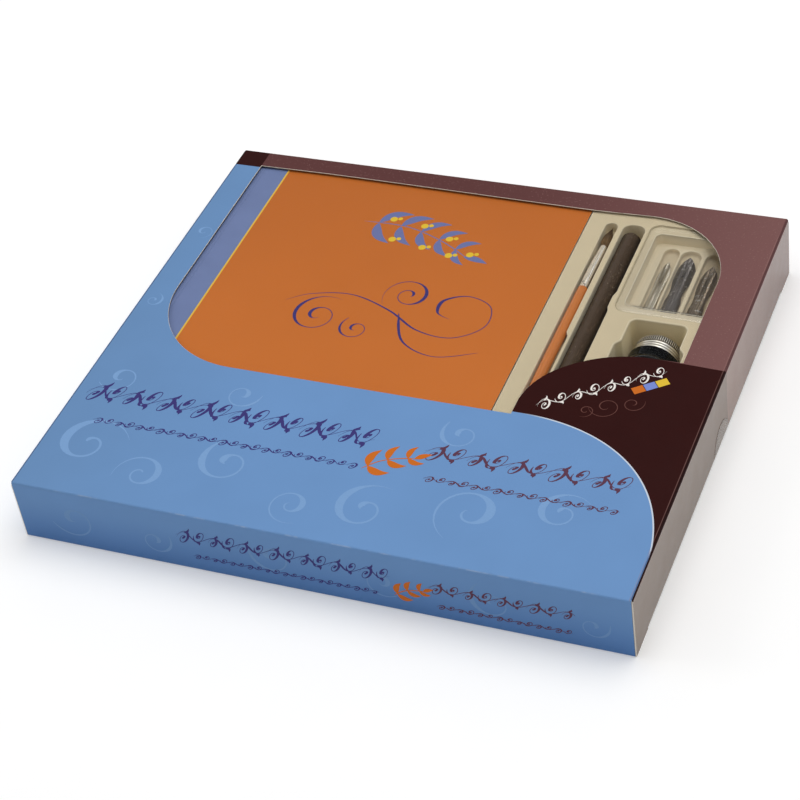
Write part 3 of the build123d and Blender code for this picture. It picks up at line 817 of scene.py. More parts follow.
# -------------------------------------------------------------------------- carton
def window_points():
    """The window's outline, from its front left corner round to the left edge."""
    first, second = LOBE_RADII
    centre = Vector((LOBE_X + first, LOBE_ARC_Y))
    turned_to = math.pi - LOBE_TURN
    outward = Vector((math.cos(turned_to), math.sin(turned_to)))
    wide = centre + outward * (first - second)
    front, back = WINDOW_FRONT_CORNER, WINDOW_BACK_CORNER
    points = arc((WINDOW_LEFT + front, WINDOW_FRONT + front), front, math.pi, math.pi / 2, 24)
    points += [(WINDOW_LEFT + front, WINDOW_FRONT), (LOBE_X, WINDOW_FRONT)]
    points += arc(centre, first, math.pi, -LOBE_TURN, 14)
    points += arc(wide, second, turned_to, math.pi / 2 - turned_to, 16)
    points += [(wide.x, wide.y + second), (WINDOW_RIGHT, wide.y + second)]
    points += arc((WINDOW_RIGHT - back, WINDOW_BACK - back), back, 0, math.pi / 2, 24)
    points += [(x, WINDOW_BACK + window_wave(x)) for x in evenly(WINDOW_RIGHT - back, WINDOW_LEFT, 28)]
    return points


# The wave of the window's slack back edge: its height, what it sags by, its length and where it starts.
WAVE_HEIGHT, WAVE_SAG = 0.9 * MM, 0.3 * MM
WAVE_LENGTH, WAVE_START = 62 * MM, -20 * MM


def window_wave(x):
    """The window's back edge isn't quite straight: the narrow band of board there is slack."""
    from_left, from_right = x - WINDOW_LEFT, WINDOW_RIGHT - WINDOW_BACK_CORNER - x
    ends = min(1.0, from_left / (40 * MM), from_right / (30 * MM))
    return -max(0.0, ends) * (WAVE_HEIGHT * math.sin((x - WAVE_START) / WAVE_LENGTH) + WAVE_SAG)


# Which material the underside and the edges of a sheet of board take, counted from its face's.
BOARD_SIDES = {"material_offset": 2, "material_offset_rim": 1}
CUT_LIP = 0.12 * MM


def block(half_x, half_y):
    """The corners of a rectangle about the origin, counterclockwise."""
    return [(-half_x, -half_y), (half_x, -half_y), (half_x, half_y), (-half_x, half_y)]


class SETBOX_OT_carton(bpy.types.Operator):
    """Build the windowed top and print the sleeve's panels"""

    bl_idname = "set_box.carton"
    bl_label = "Carton sleeve"

    def execute(self, context):
        group = settings("carton")
        sleeve = printed_board("sleeve_print", sleeve_outside).material
        for node in ("carton_front_panel", "carton_back_panel", "carton_bottom_panel", "carton_glue_flap"):
            dress(node, sleeve)
        flaps = printed_board("flap_print", flap_outside, flap_fields).material
        tucks = printed_board("tuck_print", tuck_outside, flap_fields).material
        for end in ("right", "left"):
            for edge in ("front", "back"):
                dress(f"{end}_{edge}_dust_flap", flaps)
            dress(f"{end}_tuck_flap", tucks)
        dress("window_film", clear_sheet("window_clear", 0.10, CLEAR_TINT, 0.002))
        dress("round_seal", clear_sheet("seal_clear", 0.4, (0.93, 0.92, 0.91), 0.02))
        # The window's cut edge gets painted shade from 0.2 mm below the top.
        core = raw_board("board_core", group.core, CORE_FIBRES, 0.2 * MM)
        inner = raw_board("board_inside", group.inside, INSIDE_FIBRES)
        self.make_top([sleeve, core, inner])
        return {"FINISHED"}

    def make_top(self, materials):
        """The top: board with the window cut out of it, its white core showing along the cut."""
        top = outline("top_panel", [block(top_end_x, crease_y), window_points()], top_z)
        give(top, *materials)
        for axis, half in ((0, top_end_x), (1, crease_y)):
            slices(top, axis, cuts(-half, half, 22))
        thicken(top, board, **BOARD_SIDES)
        # The underside is shorter, where the ends' creases lie.
        for vertex in top.data.vertices:
            if abs(vertex.co.x) > top_end_x - 0.01 * MM and vertex.co.z < top_z - board / 2:
                vertex.co.x = math.copysign(top_end_x - board, vertex.co.x)
        edit(top)
        choose(top, "edges", self.along_cut)
        bpy.ops.mesh.bevel(offset=CUT_LIP, segments=1, material=1)
        bpy.ops.object.mode_set(mode="OBJECT")
        smooth(top)
        finished(top, None, "carton", "printed_board", "carton_top_panel")

    def along_cut(self, edge):
        """Whether an edge of the top lies along the window's upper cut, where the die pressed a lip."""
        place = middle(edge)
        inside = abs(place.x) < top_end_x - 1 * MM and abs(place.y) < crease_y - 1 * MM
        kinds = {face.material_index for face in edge.link_faces}
        return inside and kinds == {0, 1} and place.z > top_z - 0.01 * MM


# Strips that each end panel and its crease are cut into, so that the panel can bow.
END_SLICES = 28


class SETBOX_OT_ends(bpy.types.Operator):
    """Build the hinged end panels, with their rolled creases and stepped lower edges"""

    bl_idname = "set_box.ends"
    bl_label = "End panels"

    def execute(self, context):
        group = settings("carton")
        skin = end_print("end_print", 0.61, 1.0)
        core = raw_board("end_core", group.core, CORE_FIBRES)
        inner = raw_board("end_inside", group.inside, INSIDE_FIBRES)
        fold = end_print("fold_print", 0.05, 0.0)
        for end, side in (("right", 1), ("left", -1)):
            self.make_end(end, side, [skin, core, inner, fold])
        return {"FINISHED"}

    def make_end(self, end, side, materials):
        """One end panel: a sheet with two shoulders, hung from a round crease."""
        group = settings("carton")
        low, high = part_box(f"{end}_end_panel")
        half = high.y
        notch_z, notch_in = hinge_z - 1.7 * MM, half - 1.2 * MM
        shoulder, edge_z = 125.5 * MM, 1.85 * MM
        points = [(-half, low.z), (-shoulder, low.z), (-shoulder, edge_z), (shoulder, edge_z)]
        points += [(shoulder, low.z), (half, low.z), (half, notch_z), (notch_in, hinge_z)]
        points += [(-notch_in, hinge_z), (-half, notch_z)]
        panel = outline(f"{end}_panel", [points], 0.0)
        give(panel, *materials[:3])
        slices(panel, 0, cuts(-half, half, END_SLICES))
        slices(panel, 1, cuts(0.0, hinge_z, 7))
        # Stands the drawn sheet up at the carton's end: its X becomes Y, and its Y becomes Z.
        for vertex in panel.data.vertices:
            along, up, _ = vertex.co
            sunk = group.bow * math.cos(math.pi / 2 * along / side_y) * math.sin(math.pi * up / hinge_z)
            vertex.co = (side * (end_x - abs(sunk)), along, up)
        merged(panel)
        if panel.data.polygons[0].normal.x * side < 0:
            panel.data.flip_normals()
        thicken(panel, board, **BOARD_SIDES)
        roll_half = crease_y - 0.2 * MM
        clear_selection()
        bpy.ops.mesh.primitive_cylinder_add(
            vertices=28,
            radius=crease_radius,
            depth=2 * roll_half,
            location=(side * hinge_x, 0, hinge_z),
            rotation=(math.pi / 2, 0, 0),
        )
        roll = new_piece("roll")
        bpy.ops.object.transform_apply(location=True, rotation=True, scale=True)
        give(roll, materials[3])
        slices(roll, 1, cuts(-roll_half, roll_half, END_SLICES))
        take(panel)
        roll.select_set(True)
        bpy.ops.object.join()
        smooth(panel)
        slot = "maroon_board" if side > 0 else "printed_board"
        finished(panel, None, f"{end}_end_panel", slot, f"{end}_end_panel")


# How far a painted warm reflection of the pale room hides the print of the right end.
GLARE_SHARE = 0.36


def end_print(name, coat, with_glare):
    """The end panels' print under a coat that mirrors the pale room.

    The right end has a painted warm reflection of the pale room, and the ends get painted shade towards their
    back, the right one to a dark brown; with_glare is 1 with these and 0 without. The upper half of the
    crease's roll gets painted shade, and the right end's top edge a painted highlight where with_glare is 1.
    """
    # Both ends lie away from the middle, so all of them is printed.
    finish = printed_board(name, lambda f: f.above(f.calc("ABSOLUTE", f.x), 0.0))
    # Painted reflection: a warm glare of the pale room over the right end.
    on_right, glare = finish.above(finish.x, 0.0), GLARE_SHARE * with_glare
    painted_light = finish.mix(finish.both(on_right, glare), finish.painted(), srgb(152, 118, 78))
    # Painted shade towards the back of the ends, where less of the room is mirrored.
    far = finish.both(finish.above(finish.y, 75 * MM, 70 * MM), with_glare)
    painted_light = finish.tinted(far, painted_light, (0.62, 0.42, 0.34))
    # Painted shade on the upper half of the crease's roll.
    fold = finish.above(finish.z, hinge_z + 0.35 * MM, 0.2 * MM)
    painted_light = finish.tinted(fold, painted_light, (0.55, 0.52, 0.55))
    # Painted highlight along the right end's top edge, under its crease.
    lip = finish.both(finish.above(finish.z, hinge_z - 0.45 * MM, 0.15 * MM), on_right, glare)
    finish.paint(finish.mix(lip, painted_light, srgb(226, 186, 178)))
    finish.sockets(Coat_Weight=coat, Coat_IOR=1.62, Coat_Roughness=0.16)
    return finish.material


# ---------------------------------------------------------------------------- tray
# Steps round each corner of an outline, and the turns of a quarter circle down each rim and floor.
CORNER_STEPS = 6
QUARTER_TURN = evenly(0.0, math.pi / 2, 4)


def rounded(corners, height):
    """Points of a closed outline, at a height, with each corner (x, y, radius) rounded."""
    points = []
    for index, (x, y, radius) in enumerate(corners):
        here = Vector((x, y))
        before = (Vector(corners[index - 1][:2]) - here).normalized()
        after = (Vector(corners[(index + 1) % len(corners)][:2]) - here).normalized()
        half = before.angle(after) / 2
        centre = here + (before + after).normalized() * (radius / math.sin(half))
        reach = radius / math.tan(half)
        for share in evenly(0, 1, CORNER_STEPS):
            ray = (here + before * reach).lerp(here + after * reach, share) - centre
            points.append((*(centre + ray.normalized() * radius), height))
    return points


def grown(corners, margin):
    """The corners of an outline, counterclockwise, whose sides are moved outwards by a margin."""
    moved = []
    for index, (x, y, radius) in enumerate(corners):
        here = Vector((x, y))
        before = (here - Vector(corners[index - 1][:2])).normalized()
        after = (Vector(corners[(index + 1) % len(corners)][:2]) - here).normalized()
        out = Vector((before.y + after.y, -before.x - after.x))
        place = here + out * (margin / (1 + before.dot(after)))
        bulge = margin if before.cross(after) > 0 else -margin
        moved.append((*place, max(radius + bulge, 0.05 * MM)))
    return moved


def in_mm(*corners):
    """An outline's corners (x, y, radius) given in millimetres."""
    return [tuple(value * MM for value in corner) for corner in corners]


def oblong(left, right, front, back, radius):
    """The corners of a rounded rectangle that is given in millimetres."""
    return in_mm((left, front, radius), (right, front, radius), (right, back, radius), (left, back, radius))


def loft(name, rings, closed=True):
    """A skin through rows of as many points each: a grid primitive whose vertices are moved to them."""
    columns = len(rings[0])
    steps = columns if closed else columns - 1
    clear_selection()
    bpy.ops.mesh.primitive_grid_add(x_subdivisions=steps, y_subdivisions=len(rings) - 1)
    piece = new_piece(name)
    for row, points in enumerate(rings):
        for column in range(steps + 1):
            piece.data.vertices[row * (steps + 1) + column].co = points[column % columns]
    return piece


def flat_of(ring):
    """A ring's points without their height."""
    return [point[:2] for point in ring]


def well_rings(corners, rim, floor, round_rim, round_floor, draft=0.0):
    """Rings down a well: over its rounded rim, down its wall and round the edge of its floor."""
    narrowed = (rim - floor) * math.tan(math.radians(draft))
    rings = []
    for turn in QUARTER_TURN:
        margin, drop = round_rim * (1 - math.sin(turn)), round_rim * (1 - math.cos(turn))
        rings.append(rounded(grown(corners, margin), rim - drop))
    for turn in QUARTER_TURN:
        margin = narrowed + round_floor * (1 - math.cos(turn))
        rings.append(rounded(grown(corners, -margin), floor + round_floor * (1 - math.sin(turn))))
    return rings


BOOK_WELL = oblong(-151.5, 55.2, -135.5, 134.5, 2.0)
BRUSH_WELL = in_mm(
    (65.7, -66.0, 3.4), (74.2, -66.0, 3.4), (74.2, 27.0, 2.2),
    (72.6, 30.0, 2.2), (72.6, 122.6, 3.4), (65.7, 122.6, 3.4),
)
PEN_WELL = in_mm(
    (75.7, -72.0, 3.0), (88.1, -72.0, 3.0), (88.1, 51.0, 2.5), (87.1, 54.0, 2.5),
    (87.1, 63.0, 2.5), (88.1, 66.5, 2.5), (88.1, 123.2, 5.0), (75.7, 123.2, 5.0),
)
BOTTLE_WELL = in_mm(
    (99.2, -26.0, 4.0), (135.2, -26.0, 4.0), (135.2, 26.5, 3.0), (132.0, 30.0, 3.0),
    (132.0, 47.7, 4.0), (101.9, 47.7, 4.0), (101.9, 30.0, 3.0), (99.2, 26.5, 3.0),
)
NIB_REBATE = oblong(90.0, 150.0, 51.7, 126.2, 6.0)
NIB_RECESS = oblong(94.4, 146.0, 57.2, 119.7, 4.0)
REBATE_Z, RECESS_Z, SLOT_Z = 34.4 * MM, 28.4 * MM, 25.4 * MM
LID_FLANGE_Z, LID_PAN_Z = 34.75 * MM, 31.6 * MM
# The slots for the nibs, in millimetres: the left and right side of each, and the ends of all three.
NIB_SLOTS = ((100.4, 108.8), (109.9, 120.9), (123.3, 134.3))
SLOT_FRONT, SLOT_BACK = 58.4, 116.0
# The tray's skirt: its draft, the rounding of its corners and of its edge, and the foot of its ends.
SKIRT_DRAFT = math.tan(math.radians(1.5))
SKIRT_CORNER, SKIRT_EDGE = 8 * MM, 1.6 * MM
END_FOOT_X, END_FOOT_Z = 143 * MM, 4.7 * MM
TRAY_SHEET, LID_SHEET = 0.5 * MM, 0.3 * MM


class SETBOX_OT_tray(bpy.types.Operator):
    """Form the flocked tray with its wells and rolled rims"""

    bl_idname = "set_box.tray"
    bl_label = "Moulded tray"

    def execute(self, context):
        top, rim = tray_top_z, settings("tray").rim
        low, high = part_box("moulded_tray")
        spread = (top - low.z) * SKIRT_DRAFT
        sides = grown([(*corner, SKIRT_CORNER) for corner in block(high.x, high.y)], -spread)
        skirt = [
            rounded(grown(sides, -SKIRT_EDGE * (1 - math.sin(turn))), top - SKIRT_EDGE * (1 - math.cos(turn)))
            for turn in QUARTER_TURN
        ]
        foot = rounded(grown(sides, spread), low.z)
        skirt.append([(x, y, END_FOOT_Z if abs(x) > END_FOOT_X else z) for x, y, z in foot])
        wells = [
            well_rings(BOOK_WELL, top, 27 * MM, rim, 0.8 * MM, 1),
            well_rings(BRUSH_WELL, top, 29.4 * MM, 0.5 * MM, 0.8 * MM),
            well_rings(PEN_WELL, top, 24.6 * MM, 0.5 * MM, 1.0 * MM),
            well_rings(BOTTLE_WELL, top, 1.4 * MM, 1.1 * MM, 1.5 * MM, 1),
        ]
        rebate = well_rings(NIB_REBATE, top, REBATE_Z, 0.35 * MM, 0.1 * MM)
        recess = well_rings(NIB_RECESS, REBATE_Z, RECESS_Z, 0.5 * MM, 0.3 * MM, 3)
        slots = []
        for left, right in NIB_SLOTS:
            slot = oblong(left, right, SLOT_FRONT, SLOT_BACK, (right - left) / 2 - 0.1)
            slots.append(well_rings(slot, RECESS_Z, SLOT_Z, 0.4 * MM, 1.2 * MM))
        holes = [flat_of(rings[0]) for rings in (*wells, rebate)]
        mouths = [flat_of(rings[0]) for rings in slots]
        parts = [outline("plate", [flat_of(skirt[0]), *holes], top)]
        parts += [loft("wall", rings) for rings in (skirt, rebate, recess, *wells, *slots)]
        for rings in (*wells, *slots):
            parts.append(outline("floor_of_well", [flat_of(rings[-1])], rings[-1][0][2]))
        parts.append(outline("rebate_floor", [flat_of(rebate[-1]), flat_of(recess[0])], REBATE_Z))
        parts.append(outline("recess_floor", [flat_of(recess[-1]), *mouths], RECESS_Z))
        tray = joined("tray", parts)
        merged(tray)
        face_up(tray)
        thicken(tray, TRAY_SHEET)
        smooth(tray, 40)
        finished(tray, [flocked()], "carton", "tray_plastic", "moulded_tray")
        self.make_cover()
        return {"FINISHED"}

    def make_cover(self):
        """The clear cover: a flange in the rebate round a shallow pan over the nibs."""
        pan = grown(NIB_RECESS, -1.1 * MM)
        # Steps across the flange, inwards from its edge, and the height of each: a bead runs round it.
        steps = ((0.35, -0.05), (0.6, 0.0), (1.3, 0.0), (1.55, 0.2), (1.85, 0.3), (2.15, 0.2), (2.4, 0.0))
        rings = [rounded(grown(NIB_REBATE, -inset * MM), LID_FLANGE_Z + rise * MM) for inset, rise in steps]
        rings += well_rings(pan, LID_FLANGE_Z, LID_PAN_Z, 0.6 * MM, 0.7 * MM, 42)
        pan_floor = outline("pan_floor", [flat_of(rings[-1])], LID_PAN_Z)
        cover = joined("nib_lid", [loft("pan", rings), pan_floor])
        merged(cover)
        face_up(cover)
        thicken(cover, LID_SHEET)
        smooth(cover, 40)
        # The pan's sloped back wall would otherwise show the room as a white band.
        back_wall = max(y for _, y, _ in pan) - 5.2 * MM
        clear = clear_sheet("lid_clear", 0.55, CLEAR_TINT, 0.035, back_wall)
        finished(cover, [clear], "carton", "clear_film", "nib_cover")


def face_up(piece):
    """Turns a sheet whose largest flat face looks down, so that it looks up."""
    largest = max(piece.data.polygons, key=lambda face: face.area * abs(face.normal.z))
    if largest.normal.z < 0:
        piece.data.flip_normals()


def flocked():
    """Velvety flock on moulded sheet: short fibres, and a painted highlight along the rims."""
    group = settings("tray")
    finish = Finish("tray_flock", group.flock, 0.9, Specular_IOR_Level=0.25)
    fibres = finish.noise(0.16 * MM, 4.0)
    cloudy = finish.shaded(group.flock, 0.05, finish.noise(24 * MM, 3.0))
    field = finish.shaded(cloudy, 0.07, fibres)
    # Painted highlight along the rims, just below the tray's top.
    rims = finish.above(finish.z, tray_top_z - 0.55 * MM, 0.15 * MM)
    rims = finish.both(rims, finish.below(finish.z, tray_top_z - 0.06 * MM), 0.8)
    # Light is caught below the cover and round the bottle, and the slots and the covered end are dim.
    deep = finish.below(finish.z, REBATE_Z - 0.2 * MM, 1.5 * MM)
    caught = ((NIB_REBATE, 0.8, srgb(236, 222, 194)), (BOTTLE_WELL, 0.6, srgb(236, 216, 160)))
    for corners, share, tone in caught:
        field = finish.mix(finish.both(deep, finish.over(corners), share), field, tone)
    in_recess = finish.over(NIB_RECESS)
    in_slots = finish.both(finish.below(finish.z, RECESS_Z - 1.2 * MM, 0.8 * MM), in_recess)
    field = finish.tinted(in_slots, field, (0.84, 0.82, 0.80))
    below_lid = finish.below(finish.z, RECESS_Z + 1 * MM, 0.5 * MM)
    under_board = finish.both(finish.above(finish.x, 125 * MM, 6 * MM), below_lid, in_recess)
    field = finish.tinted(under_board, field, (0.74, 0.68, 0.60))
    finish.paint(finish.mix(rims, field, srgb(226, 214, 186)))
    finish.rough(0.78, 0.95, finish.noise(6 * MM))
    finish.bump(fibres, 0.03 * MM)
    finish.bump(finish.noise(5 * MM, 2.0), 0.12 * MM, 0.6)
    finish.sockets(Sheen_Weight=0.25, Sheen_Roughness=0.5)
    return finish.material


# ---------------------------------------------------------------------------- book
# Where the spine's strip ends, how wide the stripe beside it is, and how far in the hinge's groove lies.
SPINE_X, STRIPE, HINGE_GROOVE = -127.5 * MM, 1.0 * MM, 14 * MM


class SETBOX_OT_book(bpy.types.Operator):
    """Print the softcover book and its pages"""

    bl_idname = "set_box.book"
    bl_label = "Book"

    def execute(self, context):
        group = settings("book")
        finish = Finish("cover_print", group.cover, 0.4, Specular_IOR_Level=0.15)
        field = finish.shaded(group.cover, 0.05, finish.noise(60 * MM, 2.0))
        field = finish.tinted(finish.above(finish.y, 45 * MM, 90 * MM), field, (0.88, 0.86, 0.82))
        spine = finish.shaded(group.spine, 0.10, finish.noise(18 * MM, 3.0))
        striped = finish.mix(finish.above(finish.x, SPINE_X, 0.05 * MM), spine, group.stripe)
        field = finish.mix(finish.above(finish.x, SPINE_X + STRIPE, 0.05 * MM), striped, field)
        skin = 0.15 * MM
        inner = finish.between(finish.z, book_low.z + skin, book_high.z - skin)
        inner = finish.both(inner, finish.above(finish.x, book_low.x + skin))
        finish.paint(finish.mix(inner, field, srgb(232, 226, 214)))
        finish.rough(0.36, 0.5, finish.noise(12 * MM))
        hinge = finish.below(finish.away(finish.x, SPINE_X - HINGE_GROOVE), 0.5 * MM, 0.5 * MM)
        finish.bump(hinge, -0.15 * MM)
        finish.bump(finish.noise(0.3 * MM, 3.0), 0.008 * MM)
        dress("book_cover", finish.material)
        sheets = grained(
            "page_edges", group.pages, 0.8, 0.14, 0.12 * MM, 2.0,
            grain=(0.02, 0.02, 1.0), relief=0.04 * MM, Specular_IOR_Level=0.2,
        )
        dress("book_pages", sheets.material)
        return {"FINISHED"}


# ---------------------------------------------------------------------- the brush
def axis_of(low, high):
    """The axis along Y, as (x, z), of a piece that fills a box."""
    return (low.x + high.x) / 2, (low.z + high.z) / 2


BRUSH_AXIS = axis_of(*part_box("brush_ferrule"))
FERRULE_Y = tuple(corner.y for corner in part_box("brush_ferrule"))
# Places along the ferrule and its radius at each.
FERRULE = ((FERRULE_Y[0], 2.85 * MM), (86 * MM, 2.7 * MM), (FERRULE_Y[1], 1.8 * MM))
FERRULE_WALL = 0.22 * MM
# Where the ferrule is crimped, from its handle's end, and how deep and long each crimp is.
CRIMPS, CRIMP_DEPTH, CRIMP_LENGTH = (1.4 * MM, 3.4 * MM), 0.22 * MM, 0.45 * MM
# The handle's tail: its radius, and where its rounding starts. The tenon sits in the ferrule.
TAIL_R, TENON = 1.2 * MM, 12 * MM
BRUSH_TAIL_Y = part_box("brush_handle")[0].y + 1.3 * MM
# The strands: the seed of their random lengths, their thickness, and where their bundle is fullest.
STRAND_SEED, STRAND_THICK, BUNDLE_BELLY = 11, 0.09 * MM, 0.36


def ferrule_radius(y):
    """Radius of the tapered ferrule at a place along it."""
    (start, wide), (shoulder, middling), (end, narrow) = FERRULE
    if y < shoulder:
        return wide + (middling - wide) * (y - start) / (shoulder - start)
    return middling + (narrow - middling) * (y - shoulder) / (end - shoulder)


def handle_radius(y):
    """Radius of the brush's handle: slim at its tail, fullest a third of the way up."""
    belly_y, belly, neck = 10 * MM, 2.93 * MM, 2.78 * MM
    if y < belly_y:
        share = max(0.0, y - BRUSH_TAIL_Y) / (belly_y - BRUSH_TAIL_Y)
        return TAIL_R + (belly - TAIL_R) * math.sin(math.pi / 2 * share)
    return neck + (belly - neck) * math.cos(math.pi / 2 * (y - belly_y) / (FERRULE_Y[0] - belly_y))


def bundle_spread(share):
    """Radius of the bundle of bristles, from the ferrule's mouth to the point."""
    root, belly, point = 1.45 * MM, 2.6 * MM, 0.2 * MM
    if share < BUNDLE_BELLY:
        return root + (belly - root) * math.sin(math.pi / 2 * share / BUNDLE_BELLY)
    closing = math.cos(math.pi / 2 * (share - BUNDLE_BELLY) / (1 - BUNDLE_BELLY)) ** 0.9
    return point + (belly - point) * closing


class SETBOX_OT_brush(bpy.types.Operator):
    """Turn the brush's lacquered handle and crimped ferrule, and set its bristles"""

    bl_idname = "set_box.brush"
    bl_label = "Brush"

    def execute(self, context):
        self.make_handle()
        self.make_ferrule()
        self.make_bristles(settings("tools").strands)
        return {"FINISHED"}

    def make_handle(self):
        """The handle, with the tenon that sits in the ferrule."""
        tail, end = BRUSH_TAIL_Y, FERRULE_Y[0] - 0.05 * MM
        profile = [(tail - TAIL_R * math.cos(a), TAIL_R * math.sin(a)) for a in evenly(0, 1.4, 4)]
        profile += [(y, handle_radius(y)) for y in evenly(tail, end, 40)]
        inner = ferrule_radius(end + TENON) - 0.3 * MM
        profile += [(end, inner + 0.2 * MM), (end + TENON, inner), (end + TENON, 0.0)]
        handle = turned("handle", profile, BRUSH_AXIS, 40)
        smooth(handle)
        finish = grained(
            "orange_lacquer", settings("tools").lacquer, 0.3, 0.09, 1.2 * MM,
            grain=(1.0, 0.06, 1.0), relief=0.02 * MM, Coat_Weight=0.45, Coat_Roughness=0.08,
        )
        finished(handle, [finish.material], "carton", "brush_lacquer", "brush_handle")

    def make_ferrule(self):
        """The ferrule: a seamless tapered tube with crimped grooves and a rolled lip."""
        front, back = FERRULE_Y
        profile = [(front, ferrule_radius(front) - FERRULE_WALL)]
        for y in evenly(front, back, 60):
            crimps = [math.exp(-(((y - front - crimp) / CRIMP_LENGTH) ** 2)) for crimp in CRIMPS]
            profile.append((y, ferrule_radius(y) - CRIMP_DEPTH * sum(crimps)))
        profile += [(y, ferrule_radius(y) - FERRULE_WALL - 0.03 * MM) for y in (back, front + 6 * MM)]
        ferrule = turned("ferrule", profile, BRUSH_AXIS, 40)
        smooth(ferrule, 50)
        bright = srgb(230, 217, 197)
        finish = Finish("ferrule_shine", bright, 0.25, Metallic=0.6)
        brushed = finish.noise(0.5 * MM, 3.0, finish.stretched(1.0, 0.05, 1.0))
        # Painted shade: dark patches where the crimps press in.
        dent_shade = finish.above(finish.noise(1.1 * MM, 2.0), 0.60, 0.03)
        crimped = finish.both(dent_shade, finish.below(finish.y, front + 4.6 * MM, 0.5 * MM))
        field = finish.shaded(bright, 0.06, brushed)
        # Painted highlight along the ferrule and painted shade on its flanks.
        light, shade = srgb(255, 252, 246), srgb(128, 114, 98)
        field = finish.lit_round(field, BRUSH_AXIS[0], 2.5 * MM, 0.38, 0.12, light, shade)
        finish.paint(finish.mix(crimped, field, srgb(84, 74, 66)))
        finish.rough(0.2, 0.36, brushed)
        finished(ferrule, [finish.material], "carton", "ferrule_metal", "brush_ferrule")

    def make_bristles(self, count):
        """Pointed hairs: one is modelled, and each copy keeps its place as the bundle swells and closes."""
        cx, cz = BRUSH_AXIS
        root, tip = (corner.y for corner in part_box("brush_bristles"))
        clear_selection()
        bpy.ops.mesh.primitive_cylinder_add(vertices=4, radius=1.0, depth=1.0, end_fill_type="NGON")
        strand = new_piece("strand")
        slices(strand, 2, cuts(-0.5, 0.5, 8))
        rng = random.Random(STRAND_SEED)
        golden_angle = math.pi * (3 - math.sqrt(5))
        strands = []
        for number in range(count):
            share = math.sqrt((number + 0.5) / count)
            turn = number * golden_angle
            length = (tip - root) * (1 - 0.42 * share**2) * rng.uniform(0.94, 1.0)
            hair = strand.copy()
            hair.data = strand.data.copy()
            link(hair)
            lean = rng.uniform(-0.05, 0.05)
            for vertex in hair.data.vertices:
                along = vertex.co.z + 0.5
                y = root + length * along
                off = share * bundle_spread((y - root) / (tip - root))
                wide = STRAND_THICK * max(0.12, 1 - along**2.5)
                vertex.co = (
                    cx + off * math.cos(turn + lean * along) + wide * vertex.co.x,
                    y,
                    cz + off * math.sin(turn + lean * along) + wide * vertex.co.y,
                )
            strands.append(hair)
        bpy.data.objects.remove(strand)
        bundle = joined("bristles", strands)
        merged(bundle, 0.0005 * MM)
        smooth(bundle, 60)
        hair_tone = settings("tools").hair
        finish = Finish("sable_hair", hair_tone, 0.45)
        hue = finish.noise(0.4 * MM, 3.0, finish.stretched(1.0, 0.04, 1.0))
        towards = finish.above(finish.y, (root + tip) / 2, 6 * MM)
        body = finish.mix(towards, srgb(136, 106, 68), hair_tone)
        body = finish.mix(finish.both(finish.above(hue, 0.52, 0.08), 0.7), body, srgb(58, 38, 22))
        finish.paint(finish.shaded(body, 0.3, hue))
        finish.rough(0.35, 0.6, hue)
        finished(bundle, [finish.material], "carton", "brush_hair", "brush_bristles")


# ----------------------------------------------------------------- the pen holder
pen_low, pen_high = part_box("pen_holder")
PEN_AXIS = axis_of(pen_low, pen_high)
PEN_R = (pen_high.x - pen_low.x) / 2


class SETBOX_OT_pen(bpy.types.Operator):
    """Turn the stained pen holder and dress its steel socket"""

    bl_idname = "set_box.pen"
    bl_label = "Pen holder"

    def execute(self, context):
        front, back = pen_low.y, pen_high.y
        bore, deep, lip = 3.55 * MM, 12.05 * MM, 4.3 * MM
        taper, dome = 26 * MM, 2.65 * MM
        profile = [(front + deep, 0.0), (front + deep, bore), (front, bore)]
        profile += [(front, lip - 0.2 * MM), (front + 0.2 * MM, lip)]
        for share in evenly(0, 1, 8)[1:]:
            profile.append((front + taper * share, lip + (PEN_R - lip) * math.sin(math.pi / 2 * share)))
        profile.append((back - dome, PEN_R))
        for turn in cuts(0, math.pi / 2, 10):
            profile.append((back - dome + dome * math.sin(turn), PEN_R * math.cos(turn) ** 0.8))
        profile.append((back, 0.0))
        holder = turned("holder", profile, PEN_AXIS, 56)
        smooth(holder)
        finished(holder, [stained_wood()], "carton", "dark_wood", "pen_holder")
        steel = grained(
            "socket_steel", srgb(176, 176, 178), 0.3, 0.1, 0.4 * MM,
            grain=(1.0, 0.05, 1.0), rough=(0.22, 0.42), Metallic=1.0,
        )
        dress("pen_nib_socket", steel.material)
        return {"FINISHED"}


def stained_wood():
    """Dark stained wood with fine pores along its length, pale specks, a painted highlight along it, painted
    shade on its flanks and a painted glint on its domed end.
    """
    group = settings("tools")
    finish = Finish("stained_wood", group.wood, 0.42, Specular_IOR_Level=0.16)
    grain = finish.noise(1.1 * MM, 4.0, finish.stretched(1.0, 0.07, 1.0))
    pores = finish.noise(0.35 * MM, 3.0, finish.stretched(1.0, 0.12, 1.0))
    body = finish.shaded(group.wood, 0.26, grain)
    body = finish.shaded(body, 0.16, finish.noise(4 * MM, 2.0))
    body = finish.mix(finish.above(pores, 0.62, 0.05), body, srgb(96, 76, 60))
    # Painted highlight along the holder and painted shade on its flanks.
    body = finish.lit_round(body, PEN_AXIS[0], PEN_R, -0.05, 0.25, srgb(76, 61, 49), srgb(36, 27, 19))
    # Painted glint on the right of the domed end.
    domed = finish.above(finish.y, pen_high.y - 1.4 * MM, 0.4 * MM)
    glint = finish.both(domed, finish.above(finish.x, PEN_AXIS[0], 2 * MM), 0.7)
    body = finish.mix(glint, body, srgb(176, 164, 146))
    dusty = finish.above(finish.noise(5 * MM), 0.53, 0.05)
    specks = finish.both(finish.spots(2.4 * MM, 0.13), dusty, 0.45)
    finish.paint(finish.mix(specks, body, srgb(168, 150, 128)))
    finish.rough(0.34, 0.58, grain)
    finish.bump(pores, 0.03 * MM)
    return finish.material


